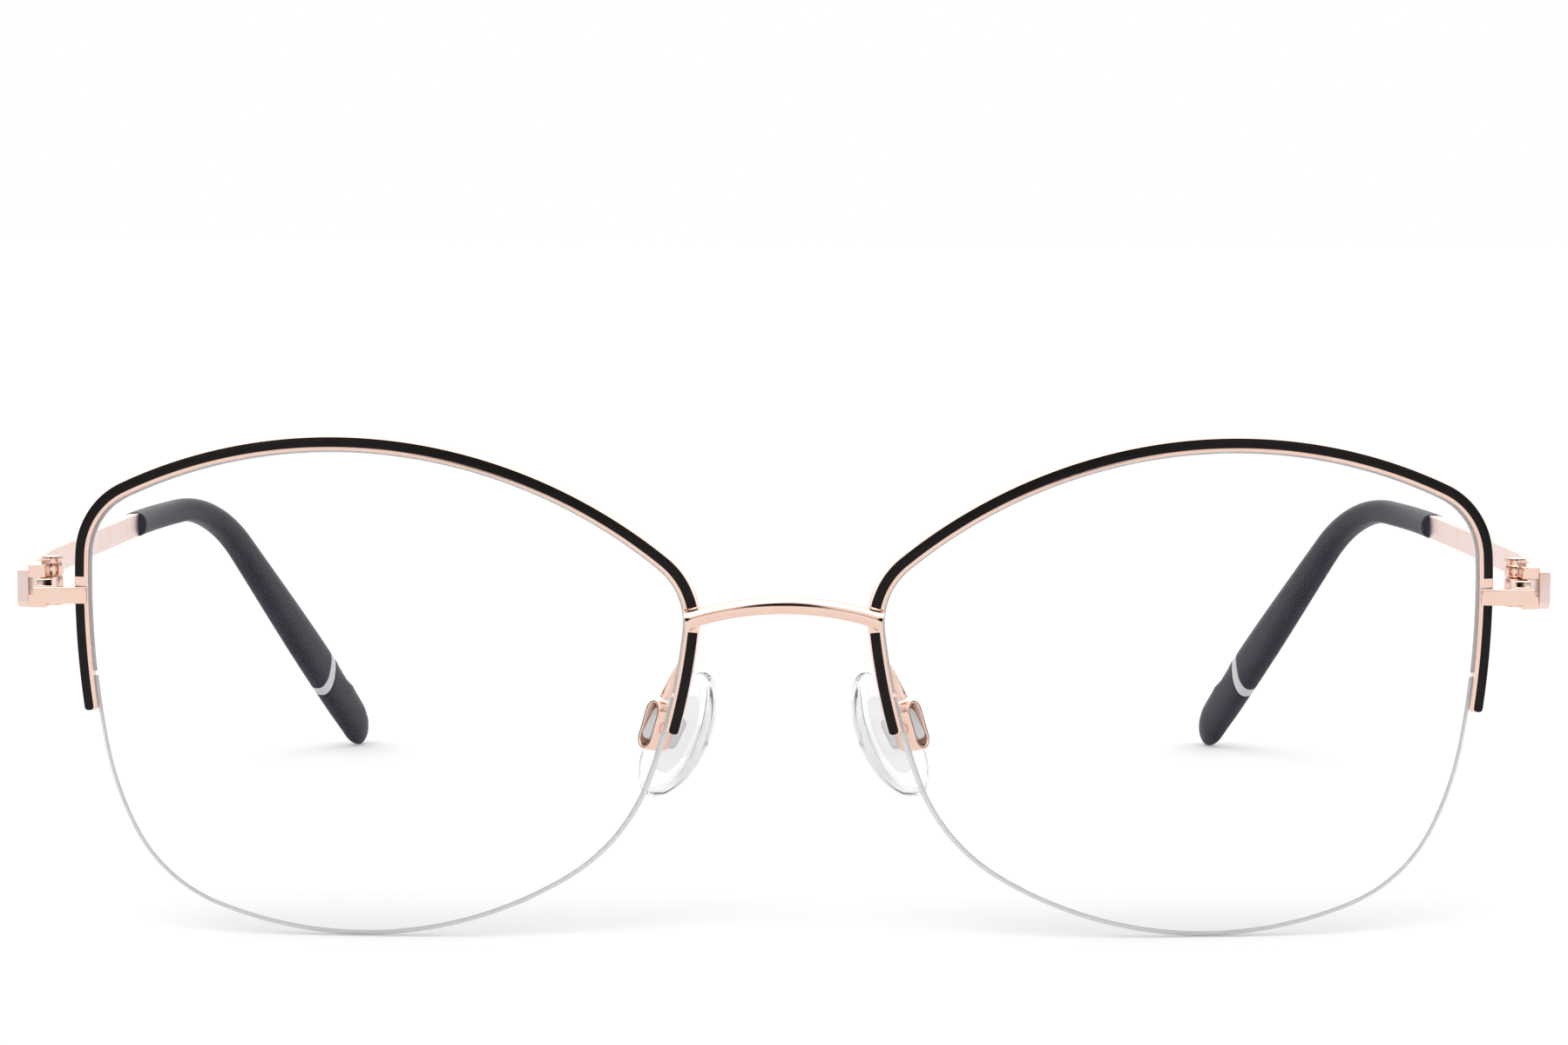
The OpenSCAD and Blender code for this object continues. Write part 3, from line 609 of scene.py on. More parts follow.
def enamel_grids(ring):
    """The three stretches of enamel: a thin domed strip, with bare metal at each brazed joint."""
    wire, join, lens = sizes("eyewire"), sizes("join"), sizes("lens")
    outer = wire.clear + wire.width - wire.enamel_edge
    inner = outer - wire.enamel
    top, floor = -wire.proud - wire.enamel_dome, wire.enamel_sunk - wire.proud
    shoulder, foot = 0.028 * MM, 0.01 * MM
    strip = rounded([[inner, top], [outer, top], [outer, floor], [inner, floor]],
                    [shoulder, shoulder, foot, foot])
    first, last = eyewire_ways(ring)
    end_z = join.end_up / math.cos(lens.tilt)
    bridge_z = join.bridge_up / math.cos(lens.tilt)
    stops = [ring.crossing(end_z - join.end_height / 2 - join.bare, 0, 1),
             ring.crossing(end_z + join.end_height / 2 + join.bare_top, 0, 1),
             ring.crossing(bridge_z + join.bridge / 2 + join.bare, 0, -1),
             ring.crossing(bridge_z - join.bridge / 2 - join.bare, 0, -1)]
    stops = [stop - 1 if stop > last else stop for stop in stops]
    cut, blunt = ring.lengthwise(wire.enamel_cut), ring.lengthwise(wire.enamel_blunt)
    stretches = ((first + cut, stops[0], (blunt, cut)),
                 (stops[1], stops[2], (cut, cut)),
                 (stops[3], last - cut, (cut, blunt)))
    least_count, whole_count = 8, 600
    grids = []
    for start, stop, radii in stretches:
        way, inset = end_stops(start, stop, radii, least_count + int(whole_count * (stop - start)))
        inset = inset / ring.lengthwise(1)
        both = np.stack([inset, np.minimum(inset, wire.enamel_cut)], 1)
        grids.append((ring.sweep(way, drawn_in(strip, both)), False))
    return grids


def cord_grid(ring):
    """A nylon cord: a circle carried along the lower edge of the lens, in the middle of the groove."""
    wire, lens = sizes("eyewire"), sizes("lens")
    top = wire.cord_hold - wire.end_down
    slope = math.tan(wire.end_slope)
    first, last = ring.crossing(top, slope, -1), ring.crossing(top, slope, 1)
    last = last + 1 if last < first else last
    sides, radius = 20, wire.cord / 2
    a = full_turn(sides)
    circle = np.stack([radius * np.cos(a) - wire.cord_in, radius * np.sin(a) + lens.thickness / 2], 1)
    end = ring.lengthwise(radius / 2)
    way, inset = end_stops(first, last, (end, end), count=460)
    return ring.sweep(way, drawn_in(circle, inset / ring.lengthwise(1)))


def liner_grid(ring):
    """The liner in the eyewire's channel: a strip from the channel's floor to the lens groove."""
    wire, lens = sizes("eyewire"), sizes("lens")
    play, soft, above_cord = 0.03 * MM, 0.04 * MM, 0.4 * MM
    steps = 420
    half = wire.channel_half - play
    middle = lens.thickness / 2
    inner, outer = play - lens.groove, wire.clear + wire.channel - play
    strip = rounded([[inner, middle - half / 3], [0, middle - half], [outer, middle - half],
                     [outer, middle + half], [0, middle + half], [inner, middle + half / 3]], soft, 3)
    height = wire.cord_hold - wire.end_down + above_cord
    first, last = [ring.crossing(height, math.tan(wire.end_slope), side) for side in (1, -1)]
    first = first - 1 if first > last else first
    way = np.linspace(first, last, steps)
    return ring.sweep(way, np.broadcast_to(strip, (len(way), *strip.shape)))


def tube(path, radius, sides):
    """A circle carried along a path, square to it, with a radius for each place on the path.

    The circle's axes are the path's direction crossed with a fixed one, and with that again.
    """
    fixed = (0, 1, 0.3)
    along = unit(np.gradient(path, axis=0))
    across = unit(np.cross(along, fixed))
    up = np.cross(across, along)
    a = full_turn(sides)[None, :, None]
    ring = np.cos(a) * across[:, None] + np.sin(a) * up[:, None]
    return path[:, None] + ring * np.broadcast_to(radius, len(path))[:, None, None]


def brazed(radius, away, fillet, fade, close, least):
    """Radius of a rod at distances from its end: flared by the braze, and closed at the very end.

    The flare fades over the distance fade, and close and least say how the end closes.
    """
    return (radius + fillet * np.exp(-away / fade)) * closing(away, close, least)


def bridge_grid(ring):
    """The bridge: a round rod along an arc that leans forward, flared a little where it is brazed."""
    join, lens = sizes("join"), sizes("lens")
    face = wire_place(ring, join.bridge_up / math.cos(lens.tilt), -1, 0)
    half = lens.gap / 2 - join.bridge_short
    arch = (half ** 2 + join.bridge_rise ** 2) / (2 * join.bridge_rise)
    limit = math.asin(half / arch)
    steps = 181
    a = limit * np.sin(np.linspace(-math.pi / 2, math.pi / 2, steps))
    up = arch * np.cos(a) + join.bridge_rise - arch
    lean = join.bridge_lean
    middle = face[1] - join.bridge / 2 + join.braze
    path = np.stack([arch * np.sin(a), middle - up * math.sin(lean), face[2] + up * math.cos(lean)], 1)
    radius = brazed(join.bridge / 2, arch * (limit - np.abs(a)), join.fillet,
                    fade=0.45 * MM, close=0.15 * MM, least=0.3)
    return tube(path, radius, sides=48)


def bow(a, b, c, d, t):
    """Curve from a to d that leaves towards b and arrives from c, at shares t of the way."""
    t = t[:, None]
    return (1 - t) ** 3 * a + 3 * t * (1 - t) ** 2 * b + 3 * t * t * (1 - t) * c + t ** 3 * d


# Shape of the temples


class TempleLine:
    """Middle line of the left temple, and the sections of the tip round it."""

    def __init__(self):
        self.size = size = sizes("temple")
        self.pin = np.array(JOINTS["temple_left_fold"]["pos_m"])
        hinge_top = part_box("hinge_knuckles_left")[1].z
        self.pin[2] = hinge_top - size.bar_height / 2 + size.bar_step
        self.bend_length = size.bend_radius * size.bend_turn
        self.tail = size.bend_turn - size.rise
        # A first end, then the end at which the lowest place of the tip touches the table
        first_tail = 50 * MM
        self.end = size.bend_at + self.bend_length + first_tail
        near = self.end - np.linspace(0.2, 6.2, 16) * MM
        low = self.section(near, self.half_thick(near), self.half_height(near))[..., 2].min()
        self.end += (low + self.pin[2]) / math.sin(self.tail)
        self.ring_at = self.end - size.tip_length - size.ring_width

    def turned_in(self, y):
        """Inward shift for a distance back: a parabola between the two ends of the turn."""
        size = self.size
        start, stop = size.bend_at - size.hook_before, size.bend_at + size.hook_after
        slope = math.tan(size.hook_in)
        curved = slope * (y - start) ** 2 / (2 * (stop - start))
        return np.where(y < start, 0, np.where(y < stop, curved, slope * (y - (start + stop) / 2)))

    def line(self, s):
        """Places a way s from the pin: straight, then an arc down, then straight again."""
        size = self.size
        rise, radius = size.rise, size.bend_radius
        turn = np.clip((s - size.bend_at) / radius, 0, size.bend_turn)
        before = np.minimum(s, size.bend_at)
        after = np.maximum(s - size.bend_at - self.bend_length, 0)
        y = before * np.cos(rise) + radius * (np.sin(rise) - np.sin(rise - turn)) + after * np.cos(self.tail)
        z = before * np.sin(rise) + radius * (np.cos(rise - turn) - np.cos(rise)) - after * np.sin(self.tail)
        return np.stack([size.bar_inside + size.bar_thick / 2 - self.turned_in(y), y, z], -1)

    def half_height(self, s):
        """Half the height of the tip: an even growth to the paddle, and a round end."""
        size = self.size
        t = np.clip((s - size.bend_at) / (self.end - size.tip_length - size.bend_at), 0, 1)
        grown = size.sleeve_height + (size.paddle_height - size.sleeve_height) * smooth(t)
        return grown / 2 * self.rounding(s)

    def half_thick(self, s):
        """Half the thickness of the tip."""
        return self.size.sleeve_thick / 2 * self.rounding(s)

    def rounding(self, s):
        """Share of the tip's section that its round end leaves."""
        return closing(self.end - s, self.size.tip_round)

    def section(self, s, half_thick, half_height, sides=56):
        """Ovals round the line, square to it: slightly squared, and true ones at the round end."""
        step, squareness = 0.05 * MM, 0.8
        blend_length = 2.4 * self.size.tip_round
        along = unit(self.line(s + step) - self.line(s - step))
        across = unit(np.cross(along, [0, 0, 1]))
        up = np.cross(across, along)
        near = np.clip(1 - (self.end - s) / blend_length, 0, 1)[:, None]
        power = squareness + (1 - squareness) * smooth(near)
        t = full_turn(sides)
        u = half_thick[:, None] * squared(np.cos(t), power)
        v = half_height[:, None] * squared(np.sin(t), power)
        return self.line(s)[:, None] + u[..., None] * across[:, None] + v[..., None] * up[:, None]

    def place(self, p):
        """From the hinge pin to the frame."""
        return turn_z(p, self.size.toe_in) + self.pin

    def hollow(self, first, last, first_round, last_round, count):
        """A hollow stretch of the tip: along its surface, rounded at both ends, and back inside."""
        way, inset = end_stops(first, last, (first_round, last_round), count)
        outer = self.section(way, self.half_thick(way) - inset, self.half_height(way) - inset)
        steps = 12
        bore_thick, bore_height = np.full(steps, self.size.core_thick), np.full(steps, self.size.core_height)
        inner = self.section(np.linspace(last, first, steps), bore_thick / 2, bore_height / 2)
        return self.place(np.vstack([outer, inner]))

    def tip(self):
        """The end piece of the tip: its surface from the ring to the round end."""
        size = self.size
        first = self.ring_at + size.ring_width
        seam_steps, body_steps, nose_steps, nose_turn = 5, 26, 22, math.radians(89)
        a = np.linspace(0, math.pi / 2, seam_steps)
        seam = first + size.seam * (1 - np.cos(a))
        body = np.linspace(first + size.seam, self.end - size.tip_round, body_steps)[1:]
        nose = self.end - size.tip_round * (1 - np.sin(np.linspace(0, nose_turn, nose_steps)[1:]))
        way = np.concatenate([seam, body, nose])
        inset = np.concatenate([size.seam * (1 - np.sin(a)), np.zeros(len(body) + len(nose))])
        return self.place(self.section(way, self.half_thick(way) - inset, self.half_height(way) - inset))


# Shape of the nose pads


class PadPlace:
    """Place of the left pad box and of the pad that rocks in it."""

    def __init__(self):
        self.size = sizes("pad")
        self.middle = np.array(JOINTS["nose_pad_left_rock"]["pos_m"])
        self.back = -self.size.box_length / 2 - self.size.gap

    def box(self, p):
        """From the middle of the box to the frame."""
        return turn_y(turn_z(p, -self.size.splay), -self.size.lean) + self.middle

    def pad(self, p):
        """The same for what rocks with the pad."""
        return self.box(turn_y(p, -self.size.rock))


def pad_grid(place):
    """A nose pad: rings from the middle of its dished back, over a round rim, to its domed front."""
    size = place.size
    outline = egg(size.height, size.width)
    rim = size.rim / ((size.height + size.width) / 4)
    face_rings, rim_rings = 14, 15
    dish_slope, dish_rim = 2.2, 0.5
    flat = np.sin(np.linspace(0, math.pi / 2, face_rings))[1:-1]
    a = np.linspace(0, math.pi, rim_rings)
    inset = np.concatenate([1 - flat * (1 - rim), rim * (1 - np.sin(a)), 1 - flat[::-1] * (1 - rim)])
    shape = outline[None] * (1 - inset)[:, None, None]
    reach = (shape ** 2).sum(-1)
    front = place.back - size.thickness + size.dome - np.sqrt(size.dome ** 2 - reach)
    dish = np.clip(1 - reach / (outline ** 2).sum(-1), 0, 1)
    rear = place.back - size.hollow * smooth(np.clip(dish * dish_slope - dish_rim, 0, 1))
    mix = np.concatenate([np.zeros(len(flat)), (1 - np.cos(a)) / 2, np.ones(len(flat))])[:, None]
    x = rear * (1 - mix) + front * mix
    return place.pad(np.stack([x, shape[..., 0], shape[..., 1]], -1))


def plate_grid(place, outline, first, last, edge):
    """A plate of that outline between two places on the pad's axis, with eased edges.

    A ring of half the outline's size lies in each of its faces.
    """
    way, inset = end_stops(first, last, (edge, edge), count=2, steps=5)
    x = np.concatenate([[first], way, [last]])
    shrink = np.concatenate([[0.5], 1 - inset / np.abs(outline).max(), [0.5]])
    flat = outline[None] * shrink[:, None, None]
    return place.pad(np.stack([np.broadcast_to(x[:, None], flat.shape[:2]), flat[..., 0], flat[..., 1]], -1))


def box_grid(place):
    """A pad box: the wall's section, a box with eased corners, carried round a stadium."""
    size = place.size
    wall, half = size.box_wall, size.box_length / 2
    soft = 0.09 * MM
    section = rounded([[0, -half], [0, half], [-wall, half], [-wall, -half]], soft, 4)
    outline, out = stadium(size.box_height, size.box_width)
    flat = outline[:, None] + section[None, :, :1] * out[:, None]
    x = np.broadcast_to(section[None, :, 1], flat.shape[:2])
    return place.box(np.stack([x, flat[..., 0], flat[..., 1]], -1))


def arm_grid(ring, place):
    """A pad arm: a round wire on a bow from behind the eyewire to the top of the box."""
    size, wire, join = place.size, sizes("eyewire"), sizes("join")
    off_middle, steps = 0.2 * MM, 90
    leaves, arrives = np.array([0, 3.6, 0.5]) * MM, np.array([-0.6, -0.2, 1.6]) * MM
    start = wire_place(ring, size.arm_up, -1, wire.depth - join.braze)
    stop = place.box(np.array([off_middle, 0, size.box_height / 2 + size.arm / 2 - join.braze]))
    path = bow(start, start + leaves, stop + arrives, stop, np.linspace(0, 1, steps))
    way = np.concatenate([[0], np.cumsum(np.linalg.norm(np.diff(path, axis=0), axis=1))])
    radius = brazed(size.arm / 2, np.minimum(way, way[-1] - way), fillet=0.16 * MM,
                    fade=0.3 * MM, close=0.2 * MM, least=0.04)
    return tube(path, radius, sides=28)


# Materials


class Value:
    """A number in a shader. Arithmetic on it adds Math nodes."""

    def __init__(self, tree, socket):
        self.tree, self.socket = tree, socket

    def math(self, operation, *values):
        return self.tree.node("ShaderNodeMath", {"operation": operation}, dict(enumerate(values)))

    def __add__(self, other):
        return self.math("ADD", self, other)

    def __sub__(self, other):
        return self.math("SUBTRACT", self, other)

    def __rsub__(self, other):
        return self.math("SUBTRACT", other, self)

    def __mul__(self, other):
        return self.math("MULTIPLY", self, other)

    __radd__ = __add__
    __rmul__ = __mul__

    def high(self, other):
        return self.math("MAXIMUM", self, other)

    def between(self, low, high):
        """Zero below low, one above high, and smooth between."""
        settings = {"interpolation_type": "SMOOTHSTEP", "clamp": True}
        inputs = {"Value": self, "From Min": low, "From Max": high}
        return self.tree.node("ShaderNodeMapRange", settings, inputs)


class Tree:
    """The node tree of a material or a world."""

    def __init__(self, owner):
        owner.use_nodes = True
        self.nodes, self.links = owner.node_tree.nodes, owner.node_tree.links
        self.nodes.clear()

    def node(self, kind, settings=None, inputs=None, output=0):
        """A new node with its settings and the values or links of its sockets. Returns one output."""
        made = self.nodes.new(kind)
        for key, value in (settings or {}).items():
            setattr(made, key, value)
        for key, value in (inputs or {}).items():
            if isinstance(value, Value):
                self.links.new(value.socket, made.inputs[key])
            else:
                made.inputs[key].default_value = value
        return Value(self, made.outputs[output]) if made.outputs else made

    def noise(self, scale, detail, stretch=(1, 1, 1)):
        """Cloudy pattern, from 0 to 1, on the piece's own place in metres."""
        place = self.node("ShaderNodeTexCoord", output="Object")
        place = self.node("ShaderNodeMapping", inputs={"Vector": place, "Scale": stretch})
        return self.node("ShaderNodeTexNoise", inputs={"Vector": place, "Scale": scale, "Detail": detail})

    def blend(self, factor, first, second):
        """Colour that goes from first to second."""
        return self.node("ShaderNodeMix", {"data_type": "RGBA"},
                         {"Factor": factor, 6: (*first, 1), 7: (*second, 1)}, output=2)

    def shade(self, factor, colour, share):
        """Colour that goes from one to that share of it."""
        return self.blend(factor, colour, [share * part for part in colour])

    def mark(self):
        """The number that each point of the piece was given."""
        return self.node("ShaderNodeAttribute", {"attribute_name": "mark"}, output="Fac")

    def bump(self, height, strength, distance):
        """Normal that follows a height."""
        inputs = {"Height": height, "Strength": strength, "Distance": distance}
        return self.node("ShaderNodeBump", inputs=inputs)

    def principled(self, **inputs):
        """The Principled shader, with socket names written with underscores."""
        named = {name.replace("_", " "): value for name, value in inputs.items()}
        return self.node("ShaderNodeBsdfPrincipled", inputs=named)

    def finish(self, shader):
        """Puts a shader on the output."""
        self.node("ShaderNodeOutputMaterial", inputs={"Surface": shader})

    def surface(self, **inputs):
        """The Principled shader alone."""
        self.finish(self.principled(**inputs))


def new_finish(name):
    """The empty tree of a new material, and the colours."""
    return Tree(bpy.data.materials.new(name)), sizes("finish")


def gold(name, roughness, fresh, worn):
    """Plating: a hint of cloud in its colour, fine wiping marks in its gloss and its surface."""
    tree, _ = new_finish(name)
    cloud = tree.noise(scale=420, detail=3)
    wiped = tree.noise(scale=900, detail=4, stretch=(1, 1, 5))
    tree.surface(
        Base_Color=tree.blend(cloud.between(0.35, 0.8), fresh, worn),
        Metallic=1.0,
        Roughness=roughness + 0.07 * wiped,
        Normal=tree.bump(wiped, strength=0.04, distance=0.02 * MM),
    )


def polished_gold():
    """Plating of everything at the front: polished."""
    look = sizes("finish")
    gold("polished_gold", 0.1, look.gold, look.gold_worn)


def satin_gold():
    """Plating of the temple bars: brushed to a soft sheen."""
    look = sizes("finish")
    gold("satin_gold", 0.3, look.gold_pale, look.gold)


def fired_enamel():
    """Fired enamel: black, glossy, with the faint waves of a poured surface."""
    tree, look = new_finish("fired_enamel")
    waves = tree.noise(scale=700, detail=2)
    tree.surface(
        Base_Color=tree.shade(waves, look.enamel, 1.6),
        Roughness=0.16 + 0.1 * waves,
        Specular_IOR_Level=0.1,
        Normal=tree.bump(waves, strength=0.1, distance=0.02 * MM),
    )


def lens_clear():
    """Clear lens: polished and coated against reflections, with an edge ground to a faint white."""
    tree, look = new_finish("lens_clear")
    edge = tree.mark()
    grind = tree.noise(scale=2500, detail=2)
    glass = tree.principled(
        Base_Color=(*look.glass, 1),
        Roughness=edge * (0.1 + 0.14 * grind),
        Specular_Tint=(*look.coating, 1),
        Transmission_Weight=1.0,
        IOR=1.4,
    )
    white = tree.principled(
        Base_Color=tree.shade(grind, look.ground, 0.95),
        Roughness=0.3 + 0.2 * grind,
        Alpha=0.02 + 0.05 * grind,
    )
    covered = edge * (0.85 + 0.15 * grind)
    tree.finish(tree.node("ShaderNodeMixShader", inputs={0: covered, 1: glass, 2: white}))


def nylon_clear():
    """Drawn nylon: clear, with a soft gloss and a fine grain."""
    tree, look = new_finish("nylon_clear")
    grain = tree.noise(scale=1500, detail=2)
    tree.surface(
        Base_Color=tree.shade(grain, look.nylon, 0.93),
        Roughness=0.12 + 0.14 * grain,
        Transmission_Weight=0.3,
        IOR=1.3,
    )


def silicone_clear():
    """Moulded silicone: clear with a trace of milk, slightly greasy, with a soft uneven surface."""
    tree, look = new_finish("silicone_clear")
    film = tree.noise(scale=260, detail=3)
    tree.surface(
        Base_Color=tree.shade(film, look.silicone, 0.98),
        Roughness=0.02 + 0.08 * film,
        Transmission_Weight=0.95,
        IOR=1.24,
        Normal=tree.bump(film, strength=0.06, distance=0.1 * MM),
    )


def core_clear():
    """Moulded plate inside the pad: half clear and hard, with flow marks, and cloudy at its lug."""
    tree, look = new_finish("core_clear")
    lug = tree.mark()
    flow = tree.noise(scale=240, detail=2, stretch=(1, 1, 3))
    tree.surface(
        Base_Color=tree.shade(flow, look.core, 0.95),
        Roughness=0.3 + 0.1 * flow,
        Alpha=0.12 + 0.1 * flow + 0.7 * lug,
    )


def slate_satin():
    """Plastic of the tips: dark slate with a faint cloud and a satin, slightly uneven surface."""
    tree, look = new_finish("slate_satin")
    cloud = tree.noise(scale=160, detail=3)
    tree.surface(
        Base_Color=tree.blend(cloud.between(0.35, 0.75), look.slate, look.slate_pale),
        Roughness=0.3 + 0.1 * cloud,
        Specular_IOR_Level=0.06,
        Normal=tree.bump(cloud, strength=0.1, distance=0.05 * MM),
    )


def ring_satin():
    """Ring of the tips: satin metal with faint turning marks."""
    tree, look = new_finish("ring_satin")
    turned = tree.noise(scale=1800, detail=2, stretch=(0.2, 3, 3))
    tree.surface(
        Base_Color=tree.shade(turned, look.ring, 0.86),
        Metallic=0.85,
        Roughness=0.28 + 0.12 * turned,
        Normal=tree.bump(turned, strength=0.08, distance=0.02 * MM),
    )


def seen_directly(tree):
    """One for what the camera sees, straight or through glass, and one for what a gloss reflects."""
    kinds = [tree.node("ShaderNodeLightPath", output=name)
             for name in ("Is Camera Ray", "Is Transmission Ray", "Is Glossy Ray")]
    straight = kinds[0].high(kinds[1])
    return straight, kinds[2] * (1 - straight)


def white_floor():
    """Floor: pale and matt, with a glow of its own for the camera, so that only its shadows show."""
    tree, stage = Tree(bpy.data.materials.new("white_floor")), sizes("stage")
    straight, gloss = seen_directly(tree)
    matt = tree.node("ShaderNodeBsdfDiffuse", inputs={"Color": (*stage.floor, 1)})
    in_gloss = 0.4
    strength = (straight + in_gloss * gloss) * stage.floor_glow
    glow = tree.node("ShaderNodeEmission", inputs={"Strength": strength})
    tree.finish(tree.node("ShaderNodeAddShader", inputs={0: matt, 1: glow}))


def studio_world():
    """World: white to the camera, soft to matt surfaces, and to gloss a white room with dark parts.

    A dark band lies just above the horizon, except at the back, and opens in front into a dark
    oval, where the camera stands. Overhead and at the back the room is brightest, and at its
    sides it is a little darker. Places are parts of a direction of length one, and each pair is
    where a shade starts and where it is full.
    """
    band_bottom, band_top = (0.04, 0.09), (0.14, 0.24)
    oval_height, oval_narrow, oval_flat, oval_edge, oval_back = 0.3, 17, 6, (0.5, 1.3), (-0.5, 0)
    overhead, behind, flanks, opening = (0.6, 0.85), (0.8, 0.96), (0.1, 0.7), (0.6, 0.9)
    overhead_more, behind_more, flanks_less = 0.7, 0.35, 0.3
    world = bpy.data.worlds.new("studio")
    bpy.context.scene.world = world
    tree, stage = Tree(world), sizes("stage")
    straight, gloss = seen_directly(tree)
    way = tree.node("ShaderNodeTexCoord", output="Generated")
    side, depth, height = [tree.node("ShaderNodeSeparateXYZ", inputs={0: way}, output=axis)
                           for axis in range(3)]
    band = height.between(*band_bottom) * (1 - height.between(*band_top))
    off = height - oval_height
    oval = 1 - (side * side * oval_narrow + off * off * oval_flat).between(*oval_edge)
    dark = (stage.band * band).high(oval * (1 - depth.between(*oval_back)))
    bright = overhead_more * height.between(*overhead) + behind_more * depth.between(*behind)
    flank = flanks_less * (side * side).between(*flanks)
    room = (1 + bright - flank) * (1 - dark * (1 - depth.between(*opening)))
    strength = straight + gloss * room + (1 - straight) * (1 - gloss) * stage.ambient
    back = tree.node("ShaderNodeBackground", inputs={"Color": (1, 1, 1, 1), "Strength": strength})
    tree.node("ShaderNodeOutputWorld", inputs={"Surface": back})


MATERIALS = (polished_gold, satin_gold, fired_enamel, lens_clear, nylon_clear, silicone_clear, core_clear,
             slate_satin, ring_satin, white_floor)


# Operators


class SPECTACLES_OT_materials(bpy.types.Operator):
    """Make the finish of every piece"""

    bl_idname = "spectacles.materials"
    bl_label = "Materials"

    def execute(self, context):
        for finish in MATERIALS:
            finish()
        return {"FINISHED"}


class SPECTACLES_OT_lenses(bpy.types.Operator):
    """Make the two lenses"""

    bl_idname = "spectacles.lenses"
    bl_label = "Lenses"

    def execute(self, context):
        grid, ground = lens_grid(LensRing())
        pair("lens", "clear", [(grid, False)], "front", "lens_clear", marks=ground)
        return {"FINISHED"}


class SPECTACLES_OT_eyewires(bpy.types.Operator):
    """Make the eyewires and the enamel on their fronts"""

    bl_idname = "spectacles.eyewires"
    bl_label = "Eyewires"

    def execute(self, context):
        ring = LensRing()
        pair("eyewire", "polished", [(eyewire_grid(ring), False)], "front", "polished_gold")
        pair("enamel", "band", enamel_grids(ring), "front", "fired_enamel")
        return {"FINISHED"}


class SPECTACLES_OT_cords(bpy.types.Operator):
    """Make the nylon cords and the liners that hold the lenses"""

    bl_idname = "spectacles.cords"
    bl_label = "Nylon cords"

    def execute(self, context):
        ring = LensRing()
        pair("nylon_cord", "drawn", [(cord_grid(ring), False)], "front", "nylon_clear")
        pair("rim_liner", "strip", [(liner_grid(ring), False)], "front", "nylon_clear")
        return {"FINISHED"}


class SPECTACLES_OT_bridge(bpy.types.Operator):
    """Make the bridge"""

    bl_idname = "spectacles.bridge"
    bl_label = "Bridge"

    def execute(self, context):
        rod = bridge_grid(LensRing())
        make("bridge_rod", 1, [(rod, False)], "front", "polished_gold", ["bridge"])
        return {"FINISHED"}


class SPECTACLES_OT_hinges(bpy.types.Operator):
    """Make the end pieces, hinge knuckles and hinge screws"""

    bl_idname = "spectacles.hinges"
    bl_label = "End pieces and hinges"

    def execute(self, context):
        join = sizes("join")
        for kind, body, width in (("endpiece", "front", join.eased),
                                  ("hinge_knuckles", "temple_{}", join.eased),
                                  ("hinge_screw", "temple_{}", join.eased_fine)):
            eased_pair(kind, "polished", body, "polished_gold", width)
        return {"FINISHED"}


class SPECTACLES_OT_temples(bpy.types.Operator):
    """Make the temple bars"""

    bl_idname = "spectacles.temples"
    bl_label = "Temple bars"

    def execute(self, context):
        width = sizes("join").eased
        eased_pair("temple_bar", "satin", "temple_{}", "satin_gold", width)
        return {"FINISHED"}


class SPECTACLES_OT_tips(bpy.types.Operator):
    """Make the sleeves, rings and ends of the temple tips"""

    bl_idname = "spectacles.tips"
    bl_label = "Temple tips"

    def execute(self, context):
        line = TempleLine()
        size = line.size
        sleeve = line.hollow(size.sleeve_at, line.ring_at, size.lip, size.seam, count=150)
        ring = line.hollow(line.ring_at, line.ring_at + size.ring_width, size.seam, size.seam, count=12)
        body = "temple_{}"
        pair("tip_sleeve", "moulded", [(sleeve, True)], body, "slate_satin")
        pair("tip_ring", "turned", [(ring, True)], body, "ring_satin")
        pair("tip_end", "moulded", [(line.tip(), False)], body, "slate_satin")
        return {"FINISHED"}


class SPECTACLES_OT_pad_arms(bpy.types.Operator):
    """Make the pad arms, pad boxes and pad screws"""

    bl_idname = "spectacles.pad_arms"
    bl_label = "Pad arms and boxes"

    def execute(self, context):
        place = PadPlace()
        arm, width = arm_grid(LensRing(), place), sizes("join").eased_fine
        pair("pad_arm", "wire", [(arm, False)], "front", "polished_gold")
        pair("pad_box", "polished", [(box_grid(place), True)], "front", "polished_gold")
        eased_pair("pad_screw", "polished", "front", "polished_gold", width)
        return {"FINISHED"}


class SPECTACLES_OT_nose_pads(bpy.types.Operator):
    """Make the nose pads and the plates inside them"""

    bl_idname = "spectacles.nose_pads"
    bl_label = "Nose pads"

    def execute(self, context):
        place = PadPlace()
        size = place.size
        deep = place.back - size.core_deep
        plate_edge, lug_edge, lug_round, lug_sunk = 0.18 * MM, 0.1 * MM, 0.6 * MM, 0.1 * MM
        oval = egg(size.height, size.width) * size.core_share
        plate = plate_grid(place, oval, deep - size.core_thick, deep, plate_edge)
        thick, high = size.lug_thick / 2, size.lug_height / 2
        block = rounded([[-thick, -high], [thick, -high], [thick, high], [-thick, high]], lug_round)
        lug = plate_grid(place, block, deep - lug_sunk, size.lug_reach, lug_edge)
        poles = 2
        cloudy = np.ones(lug[..., 0].size + poles)
        body = "nose_pad_{}"
        pair("nose_pad", "moulded", [(pad_grid(place), False)], body, "silicone_clear")
        pair("pad_core", "moulded", [(lug, False), (plate, False)], body,
             "core_clear", marks=cloudy)
        return {"FINISHED"}


